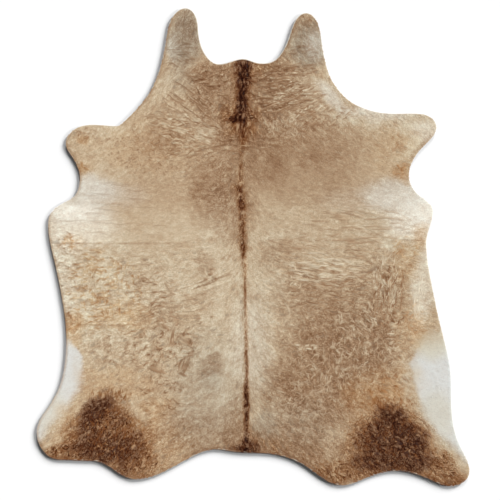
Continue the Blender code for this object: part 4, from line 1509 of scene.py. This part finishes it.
def coat_colour_group():
    """The coat: pale hair mixed by its masks, then stained by each pigment's mask."""
    pale = [(item.name, item.colour) for item in PALE_COATS]
    pale += [("white", WHITE_COLOUR), (IVORY.name, IVORY.colour)]
    inputs = [("Ground", "Color", linear(TAN))]
    inputs += [(name.capitalize(), "Color", linear(colour)) for name, colour in pale]
    for item in PIGMENTS:
        ground = CHESTNUT.colour if item is DARK else TAN
        inputs.append((item.name.capitalize(), "Color", stain(item.colour, ground)))
    inputs += [("Strand tint", "Color", stain(FAWN.colour, TAN)),
               ("Streak depth", "Float", STREAK_DEPTH),
               ("Pigment spread", "Float", PIGMENT_SPREAD),
               ("Crease depth", "Float", PAINTED_SHADE_DEPTH),
               ("Tuft", "Float", 0.0),
               ("Brightness", "Float", 1.0)]
    group, given = new_group("coat colour", "ShaderNodeTree", inputs,
                             (("Colour", "Color"), ("Roughness", "Float")))
    pigment = pigment_group()

    def stained(colour, tint, amount):
        feeds = {"Colour": colour, "Filter": given[tint], "Amount": amount}
        return put(group, "ShaderNodeGroup", feeds, node_tree=pigment)["Colour"]

    colour = given["Ground"]
    for name, _ in pale:
        feeds = {"Factor": attribute(group, name), "A": colour, "B": given[name.capitalize()]}
        colour = put(group, "ShaderNodeMix", feeds, data_type="RGBA")["Result"]
    darker = calculate(group, "SUBTRACT", given["Tuft"], attribute(group, "streak"))
    spread = calculate(group, "MULTIPLY_ADD", darker, given["Pigment spread"], 1.0)
    spread = calculate(group, "MAXIMUM", spread, LEAST_PIGMENT)
    for item in PIGMENTS:
        amount = calculate(group, "MULTIPLY", attribute(group, item.name), spread)
        colour = stained(colour, item.name.capitalize(), amount)
    # Painted shade from folds, wrinkles and rims darkens the colour through the same tint as the
    # streaks
    crease = calculate(group, "MULTIPLY", attribute(group, "crease"), given["Crease depth"])
    shade = calculate(group, "MULTIPLY_ADD", darker, given["Streak depth"], crease)
    colour = stained(colour, "Strand tint", shade)
    lit = put(group, "ShaderNodeVectorMath", {0: colour, "Scale": given["Brightness"]},
              operation="SCALE")[0]
    rough = map_range(group, darker, *STREAK_RANGE, *HAIR_ROUGHNESS)
    put(group, "NodeGroupOutput", {"Colour": lit, "Roughness": rough})
    return group


def new_material(name):
    material = bpy.data.materials.new(name)
    material.use_nodes = True
    return material, material.node_tree, material.node_tree.nodes["Principled BSDF"]


def bumped(tree, height, strength, distance):
    """A normal from a height."""
    feeds = {"Height": height, "Strength": strength, "Distance": distance}
    return put(tree, "ShaderNodeBump", feeds)["Normal"]


def hair_material(coat):
    """Glossy flat-lying hair: painted shade in the depth at its roots, with fine strands along it."""
    material, tree, shader = new_material("flat-lying hair")
    along, across, tuft, calm = (attribute(tree, name) for name in
                                 ("lock along", "lock across", "lock shade", "calm"))
    stretched = put(tree, "ShaderNodeMapping", {
        "Vector": vector_of(tree, across, along, tuft), "Scale": STRAND_SCALES})[0]
    strands = put(tree, "ShaderNodeTexNoise", {
        "Vector": stretched, "Scale": 1.0, "Detail": 2.0})["Fac"]
    shade = calculate(tree, "MULTIPLY", map_range(tree, along, 0.0, OUT_OF_DEPTH, *DEPTH_SHADE),
                      map_range(tree, strands, *NOISE_RANGE, *STRAND_SHADE))
    evened = put(tree, "ShaderNodeMix", {"Factor": calm, "A": shade, "B": 1.0},
                 data_type="FLOAT")["Result"]
    lively = calculate(tree, "MULTIPLY_ADD", calm, -CALM_TUFTS, 1.0)
    tuft_shade = calculate(tree, "MULTIPLY", lively, map_range(tree, tuft, 0.0, 1.0, *TUFT_SHADE))
    colours = put(tree, "ShaderNodeGroup", {"Brightness": evened, "Tuft": tuft_shade},
                  node_tree=coat)
    feed(tree, shader, {
        "Base Color": colours["Colour"],
        "Roughness": colours["Roughness"],
        "Normal": bumped(tree, strands, STRAND_BUMP, STRAND_HEIGHT),
        "Specular IOR Level": HAIR_GLOSS,
    })
    return material


def grain_group():
    """Fine uneven grain for the bare leather: a mask and a height."""
    group, given = new_group("leather grain", "ShaderNodeTree", (("Scale", "Float", 900.0),),
                             (("Mask", "Float"), ("Height", "Float")))
    place = put(group, "ShaderNodeTexCoord")["Object"]
    fine = put(group, "ShaderNodeTexNoise", {
        "Vector": place, "Scale": given["Scale"], "Detail": 4.0, "Roughness": 0.6})["Fac"]
    broad = put(group, "ShaderNodeTexNoise", {
        "Vector": place, "Scale": MOTTLE_SCALE, "Detail": 5.0})["Fac"]
    mask = calculate(group, "MULTIPLY", calculate(group, "ADD", fine, broad), 0.5)
    put(group, "NodeGroupOutput", {"Mask": mask, "Height": fine})
    return group


def roots_material(coat, grain):
    """The grain side between the locks: the coat's colour in the shade of the hair."""
    material, tree, shader = new_material("hair roots")
    colours = put(tree, "ShaderNodeGroup", {"Brightness": ROOTS_SHADE}, node_tree=coat)
    height = put(tree, "ShaderNodeGroup", {"Scale": ROOTS_GRAIN}, node_tree=grain)["Height"]
    feed(tree, shader, {
        "Base Color": colours["Colour"],
        "Roughness": colours["Roughness"],
        "Normal": bumped(tree, height, ROOTS_BUMP, ROOTS_HEIGHT),
        "Specular IOR Level": LEATHER_GLOSS,
    })
    return material


def leather_material(leather, grain):
    """Bare leather between two tones."""
    material, tree, shader = new_material(leather.name)
    texture = put(tree, "ShaderNodeGroup", {"Scale": leather.scale}, node_tree=grain)
    feeds = {"Factor": texture["Mask"], "A": linear(leather.low), "B": linear(leather.high)}
    feed(tree, shader, {
        "Base Color": put(tree, "ShaderNodeMix", feeds, data_type="RGBA")["Result"],
        "Normal": bumped(tree, texture["Height"], LEATHER_BUMP, leather.height),
        "Roughness": leather.roughness,
        "Specular IOR Level": LEATHER_GLOSS,
        "Sheen Weight": LEATHER_SHEEN,
    })
    return material


# The hair


def make_lock():
    """One lock at its full length, pointing to +Y: a pointed leaf of two triangles, bent across."""
    half = LOCK_WIDTH / 2
    widest = LOCK_WIDEST * LOCK_LENGTH
    data = bpy.data.meshes.new("lock")
    data.from_pydata(
        [(0, 0, 0), (half, widest, LOCK_BEND), (0, LOCK_LENGTH, 0), (-half, widest, LOCK_BEND)],
        [], [(0, 1, 3), (1, 2, 3)])
    store(data, "lock along", (0, LOCK_WIDEST, 1, LOCK_WIDEST))
    store(data, "lock across", (0.5, 1, 0.5, 0))
    data.shade_smooth()
    return bpy.data.objects.new("lock", data)


def stored(tree, name, kind="FLOAT"):
    """A value that the mesh holds, in a Geometry Nodes tree."""
    return put(tree, "GeometryNodeInputNamedAttribute", {"Name": name}, data_type=kind)["Attribute"]


def finish_tree(tree, geometry, material):
    """Ends a tree in real geometry with its material."""
    real = put(tree, "GeometryNodeRealizeInstances", {"Geometry": geometry})["Geometry"]
    dressed = put(tree, "GeometryNodeSetMaterial", {"Geometry": real, "Material": material})
    put(tree, "NodeGroupOutput", {"Geometry": dressed["Geometry"]})


def hair_tree():
    """Sets locks over a band of the skin, each laid along the hair's lie with a little disorder."""
    tree, given = new_group("hair band", "GeometryNodeTree", (
        ("Geometry", "Geometry", None),
        ("Lock", "Object", None),
        ("Hair", "Material", None),
        ("Gap", "Float", LOCK_GAP),
        ("Length", "Float", LOCK_LENGTH),
        ("Shortest", "Float", SHORTEST_LOCK),
        ("Lift", "Float", LOCK_LIFT),
        ("Lift spread", "Float", LIFT_SPREAD),
        ("Yaw spread", "Float", YAW_SPREAD),
        ("Roll spread", "Float", ROLL_SPREAD),
        ("From", "Float", -1.0),
        ("Up to", "Float", 1.0),
        ("Seed", "Int", 0),
    ), (("Geometry", "Geometry"),))

    def compare(operation, first, second):
        return put(tree, "FunctionNodeCompare", {"A": first, "B": second},
                   data_type="FLOAT", operation=operation)["Result"]

    def both(first, second):
        return calculate(tree, "AND", first, second, kind="FunctionNodeBooleanMath")

    def times(first, second):
        return calculate(tree, "MULTIPLY", first, second)

    def chance(low, high, shift):
        seed = calculate(tree, "ADD", given["Seed"], shift)
        return put(tree, "FunctionNodeRandomValue", {2: low, 3: high, "Seed": seed},
                   data_type="FLOAT")[1]

    # Places on the upward side of the band
    y = put(tree, "ShaderNodeSeparateXYZ", {0: put(tree, "GeometryNodeInputPosition")[0]})["Y"]
    up = put(tree, "ShaderNodeSeparateXYZ", {0: put(tree, "GeometryNodeInputNormal")[0]})["Z"]
    within = both(compare("GREATER_EQUAL", y, given["From"]),
                  compare("LESS_THAN", y, given["Up to"]))
    scatter = put(tree, "GeometryNodeDistributePointsOnFaces", {
        "Mesh": given["Geometry"],
        "Selection": both(within, compare("GREATER_THAN", up, FACING_UP)),
        "Distance Min": given["Gap"],
        "Density Max": calculate(tree, "DIVIDE", LOCKS_TRIED, times(given["Gap"], given["Gap"])),
        "Seed": given["Seed"],
    }, distribute_method="POISSON")

    # Each lock's turn
    calmed = times(stored(tree, "calm"), CALM_ORDER)
    lively = calculate(tree, "SUBTRACT", 1.0, calmed)
    along = put(tree, "FunctionNodeAlignRotationToVector", {
        "Rotation": scatter["Rotation"], "Vector": stored(tree, "hair lie", "FLOAT_VECTOR"),
    }, axis="Y", pivot_axis="Z")[0]
    lift_change = times(times(given["Lift spread"], chance(-1.0, 1.0, 1)), lively)
    turns = vector_of(tree, calculate(tree, "ADD", given["Lift"], lift_change),
                      times(times(given["Roll spread"], chance(-1.0, 1.0, 2)), lively),
                      times(given["Yaw spread"], chance(-1.0, 1.0, 3)))
    disorder = put(tree, "FunctionNodeEulerToRotation", {0: turns})[0]
    turned = put(tree, "FunctionNodeRotateRotation", {"Rotation": along, "Rotate By": disorder},
                 rotation_space="LOCAL")[0]

    # Its size, within the room that it has
    fitting = calculate(tree, "DIVIDE", stored(tree, "hair room"), given["Length"])
    length = calculate(tree, "MINIMUM", chance(*LENGTH_SHARES, 4), fitting)
    length = calculate(tree, "MAXIMUM", length, given["Shortest"])
    lock = put(tree, "GeometryNodeObjectInfo", {"Object": given["Lock"]},
               transform_space="ORIGINAL")["Geometry"]
    locks = put(tree, "GeometryNodeInstanceOnPoints", {
        "Points": scatter["Points"],
        "Instance": lock,
        "Rotation": turned,
        "Scale": vector_of(tree, chance(*WIDTH_SHARES, 5), length, 1.0),
    })["Instances"]
    finish_tree(tree, locks, given["Hair"])
    return tree


def band_edges(skin):
    """Heights along the hide that part its hair side into bands of equal area."""
    top = [face for face in skin.data.polygons if face.normal.z > FACING_UP]
    y = np.array([face.center.y for face in top])
    area = np.array([face.area for face in top])
    order = np.argsort(-y)
    share = np.cumsum(area[order]) / area.sum()
    cuts = [y[order][np.searchsorted(share, (band + 1) / len(BANDS))]
            for band in range(len(BANDS) - 1)]
    return [HIDE_HIGH.y + 1.0, *cuts, HIDE_LOW.y - 1.0]


def grow(name, bed_data, tree, values):
    """A plain mesh that a tree makes on its bed; values gives the tree's inputs by their names."""
    bed = add_object("bed", bed_data)
    modifier = bed.modifiers.new("growth", "NODES")
    modifier.node_group = tree
    for item in tree.interface.items_tree:
        if item.item_type == "SOCKET" and item.in_out == "INPUT" and item.name in values:
            modifier[item.identifier] = values[item.name]
    graph = bpy.context.evaluated_depsgraph_get()
    data = bpy.data.meshes.new_from_object(bed.evaluated_get(graph))
    bed.modifiers.clear()
    bpy.data.objects.remove(bed, do_unlink=True)
    data.name = name
    return add_object(name, data)


def follow_relief(data, relief):
    """Lifts a mesh with the hair's relief, and gives its points' places."""
    places = values_of(data.vertices, "co", size=3).astype(float)
    x = places[:, 0]
    y = places[:, 1]
    places[:, 2] += read_field(relief, x, y)
    data.vertices.foreach_set("co", places.astype(np.float32).ravel())
    return x, y


def colour_hair(data, fields, relief, u, v, seed):
    """Follows the wrinkles and gives every lock its share of the markings."""
    x, y = follow_relief(data, relief)
    locks = len(x) // LOCK_POINTS
    dice = np.random.default_rng(seed)
    slip = np.repeat(FEATHER * dice.uniform(-1, 1, locks), LOCK_POINTS)
    slipped_x = x + slip * read_field(u, x, y)
    slipped_y = y + slip * read_field(v, x, y)
    for name, field in fields.items():
        store(data, name, read_field(field, slipped_x, slipped_y))
    store(data, "lock shade", np.repeat(dice.uniform(0, 1, locks), LOCK_POINTS))
    data.shade_smooth()
    lay_flat_map(data)


# The curls


def curl_lines(ring):
    """The middle lines of all curls that lie within the ring, as a mesh of edges."""
    places, half_widths, strengths, tones = [], [], [], []
    for number, tone in enumerate(TONES):
        dice = np.random.default_rng(tone.seed)
        for row in tone.strokes:
            px, py, half_width, strength = stroke_arcs(row, dice, CURL_STEPS)
            places.append(np.stack(hide_place(px, py), axis=2))
            half_widths.append(half_width * PHOTO_PIXEL)
            strengths.append(strength)
            tones.append(np.full(strength.shape, number))
    places, half_widths, strengths, tones = (
        np.concatenate(parts) for parts in (places, half_widths, strengths, tones))
    flat = places.reshape(-1, 2)
    apart = nearest_on_ring(flat, ring)[1] > CURL_CLEARANCE + LOCK_WIDTH
    kept = (inside_ring(flat, ring) & apart).reshape(-1, CURL_STEPS).all(axis=1)
    kept &= strengths.max(axis=1) > FAINTEST_CURL
    x = places[kept, :, 0].ravel()
    y = places[kept, :, 1].ravel()
    t = np.tile(np.linspace(-1, 1, CURL_STEPS), kept.sum())
    z = skin_height(x, y, ring) + CURL_REST - CURL_DIP * t**2
    starts = np.arange(len(x)).reshape(-1, CURL_STEPS)[:, :-1].ravel()

    data = bpy.data.meshes.new("curl lines")
    data.from_pydata(np.column_stack([x, y, z]).tolist(),
                     np.column_stack([starts, starts + 1]).tolist(), [])
    store(data, "curl half width", half_widths[kept])
    store(data, "curl strength", strengths[kept])
    store(data, "curl tone", tones[kept])
    shades = np.random.default_rng(CURL_SEED).uniform(*CURL_SHADES, kept.sum())
    store(data, "lock shade", np.repeat(shades, CURL_STEPS))
    return data


def curl_tree():
    """Turns lines into ribbons of hair, arched across, as wide as the lines say."""
    tree, given = new_group("curls", "GeometryNodeTree", (
        ("Geometry", "Geometry", None),
        ("Hair", "Material", None),
        ("Arch", "Float", CURL_ARCH),
        ("Arch radius", "Float", 1 / math.sin(CURL_ARCH / 2)),
    ), (("Geometry", "Geometry"),))

    def keep_share(geometry, name):
        """Stores how far along its spline each point lies."""
        share = put(tree, "GeometryNodeSplineParameter")["Factor"]
        return put(tree, "GeometryNodeStoreNamedAttribute", {
            "Geometry": geometry, "Name": name, "Value": share,
        }, data_type="FLOAT", domain="POINT")["Geometry"]

    line = put(tree, "GeometryNodeMeshToCurve", {"Mesh": given["Geometry"]})[0]
    upright = put(tree, "GeometryNodeSetCurveNormal", {"Curve": keep_share(line, "lock along")},
                  mode="Z_UP")[0]

    # The ribbon's profile: an arch with its ends at the line's height
    half_turn = calculate(tree, "MULTIPLY", given["Arch"], 0.5)
    arch = put(tree, "GeometryNodeCurveArc", {
        "Resolution": 3,
        "Radius": given["Arch radius"],
        "Start Angle": calculate(tree, "SUBTRACT", -math.pi / 2, half_turn),
        "Sweep Angle": given["Arch"],
    }, mode="RADIUS")[0]
    sink = calculate(tree, "MULTIPLY", calculate(tree, "COSINE", half_turn), given["Arch radius"])
    profile = put(tree, "GeometryNodeTransform", {
        "Geometry": keep_share(arch, "lock across"),
        "Translation": vector_of(tree, 0.0, sink, 0.0),
    })[0]
    ribbon = put(tree, "GeometryNodeCurveToMesh", {
        "Curve": upright,
        "Profile Curve": profile,
        "Scale": stored(tree, "curl half width"),
    })[0]
    finish_tree(tree, ribbon, given["Hair"])
    return tree


def make_curls(ring, material, fields, relief):
    """Every curl and wrinkle as one piece, each in its own tone over the coat's markings."""
    curls = grow("curls", curl_lines(ring), curl_tree(), {"Hair": material})
    data = curls.data
    x, y = follow_relief(data, relief)
    masks = {name: read_field(field, x, y) for name, field in fields.items()}
    strength, tone, side = (values_of(data.attributes[name].data, "value").astype(float)
                            for name in ("curl strength", "curl tone", "lock across"))
    share = {item.name: strength * (np.rint(tone) == number) for number, item in enumerate(TONES)}
    masks["cream"] = np.maximum(masks["cream"], share["pale"])
    for item in PIGMENTS:
        masks[item.name] *= 1 - PALE_CURL_COVERS * share["pale"]
    free = 1 - masks["chestnut"]
    masks["fawn"] = np.maximum(masks["fawn"], BROWN_CURL * share["brown"] * free)
    masks["ginger"] = np.maximum(masks["ginger"], share["golden"] * free)
    masks["ginger"] = np.maximum(masks["ginger"], GOLD_ON_BROWN * share["golden"])
    masks["dark"] *= 1 - share["golden"]
    masks["chestnut"] *= 1 - GOLD_COVERS_BROWN * share["golden"]
    deeper = share["dark"] * fade(*DARK_CURL_DEEPENS, masks["chestnut"])
    masks["chestnut"] = np.maximum(masks["chestnut"], share["dark"])
    masks["dark"] = np.maximum(masks["dark"], deeper)
    # Painted light on each wrinkle's lit side, and painted shade on its other side
    masks["streak"] += LIT_CURL_SIDE * share["wrinkle"] * np.clip(1 - 2 * side, 0, 1)
    masks["crease"] = np.maximum(masks["crease"], share["wrinkle"] * np.clip(2 * side - 1, 0, 1))
    for name, values in masks.items():
        store(data, name, values)
    data.shade_smooth()
    lay_flat_map(data)
    return curls


# The studio


def make_floor():
    data = bpy.data.meshes.new("studio_floor")
    corners = [(x * FLOOR_REACH, y * FLOOR_REACH, 0) for x, y in ((-1, -1), (1, -1), (1, 1), (-1, 1))]
    data.from_pydata(corners, [], [(0, 1, 2, 3)])
    material, tree, shader = new_material("pale floor")
    feed(tree, shader, {"Base Color": FLOOR_COLOUR, "Roughness": 0.95, "Specular IOR Level": 0.0})
    data.materials.append(material)
    floor = add_object("studio_floor", data)
    floor.location.z = -FLOOR_DROP
    return floor


def chosen(name, items):
    """A collection that tells a lamp which objects it reaches, or which hold it off."""
    made = bpy.data.collections.new(name)
    for item in items:
        made.objects.link(item)
    return made


def set_light(hide, skin, floor):
    """Soft light on the hide, and low lights that give it the photo's soft edge shadow."""
    for row in LAMPS:
        light = bpy.data.lights.new(row.name, "SUN")
        light.energy = row.power
        light.angle = math.radians(row.softness)
        turn = math.radians(row.turn)
        rise = math.radians(row.rise)
        towards = Vector((math.cos(turn) * math.cos(rise), math.sin(turn) * math.cos(rise),
                          math.sin(rise)))
        lamp = add_object(row.name, light)
        lamp.rotation_euler = towards.to_track_quat("Z", "Y").to_euler()
        on_hide = row.lights == "hide"
        lamp.light_linking.receiver_collection = chosen(
            row.name + " falls on", hide if on_hide else (floor,))
        if not on_hide:
            lamp.light_linking.blocker_collection = chosen(row.name + " is held by", (skin,))
    world = bpy.data.worlds.new("studio")
    world.use_nodes = True
    tree = world.node_tree
    seen = put(tree, "ShaderNodeLightPath")["Is Camera Ray"]
    feed(tree, tree.nodes["Background"], {
        "Color": (1.0, 1.0, 1.0, 1.0),
        "Strength": map_range(tree, seen, 0.0, 1.0, WALL_GLOW, 1.0),
    })
    bpy.context.scene.world = world
    bpy.context.scene.view_settings.view_transform = "Standard"
    bpy.context.scene.view_settings.look = "None"


def set_camera():
    """Straight above the middle of the photograph, at its scale."""
    lens = bpy.data.cameras.new("photo camera")
    lens.lens = LENS
    lens.sensor_width = SENSOR_WIDTH
    lens.dof.use_dof = False
    camera = add_object("photo camera", lens)
    middle = PHOTO_SIDE / 2
    distance = PHOTO_SIDE * PHOTO_PIXEL * lens.lens / lens.sensor_width
    camera.location = (*hide_place(middle, middle), distance)
    bpy.context.scene.camera = camera


def declare(skin, hairs):
    """Attaches every piece to the root body and hides the CAD hide."""
    for piece in (skin, *hairs):
        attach(piece, "root")
    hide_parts("hide")


def build():
    remove_start_objects()
    ring = outline_points()
    u, v = hair_lie()
    fields, relief = coat_fields(u, v, ring)
    coat = coat_colour_group()
    grain = grain_group()
    skin = make_skin(ring, (
        roots_material(coat, grain),
        leather_material(CUT_EDGE, grain),
        leather_material(SUEDE, grain),
    ))
    guide_hair(skin.data, ring, u, v, fields)
    lay_skin_map(skin.data)

    tree = hair_tree()
    lock = make_lock()
    hair = hair_material(coat)
    edges = band_edges(skin)
    hairs = []
    for index, name in enumerate(BANDS):
        piece = grow(name, skin.data, tree, {
            "Lock": lock, "Hair": hair, "From": edges[index + 1], "Up to": edges[index],
            "Seed": HAIR_SEED + index})
        colour_hair(piece.data, fields, relief, u, v, COLOUR_SEED + index)
        hairs.append(piece)
    bpy.data.objects.remove(lock, do_unlink=True)
    hairs.append(make_curls(ring, hair, fields, relief))
    declare(skin, hairs)
    floor = make_floor()
    set_light((skin, *hairs), skin, floor)
    set_camera()


build()
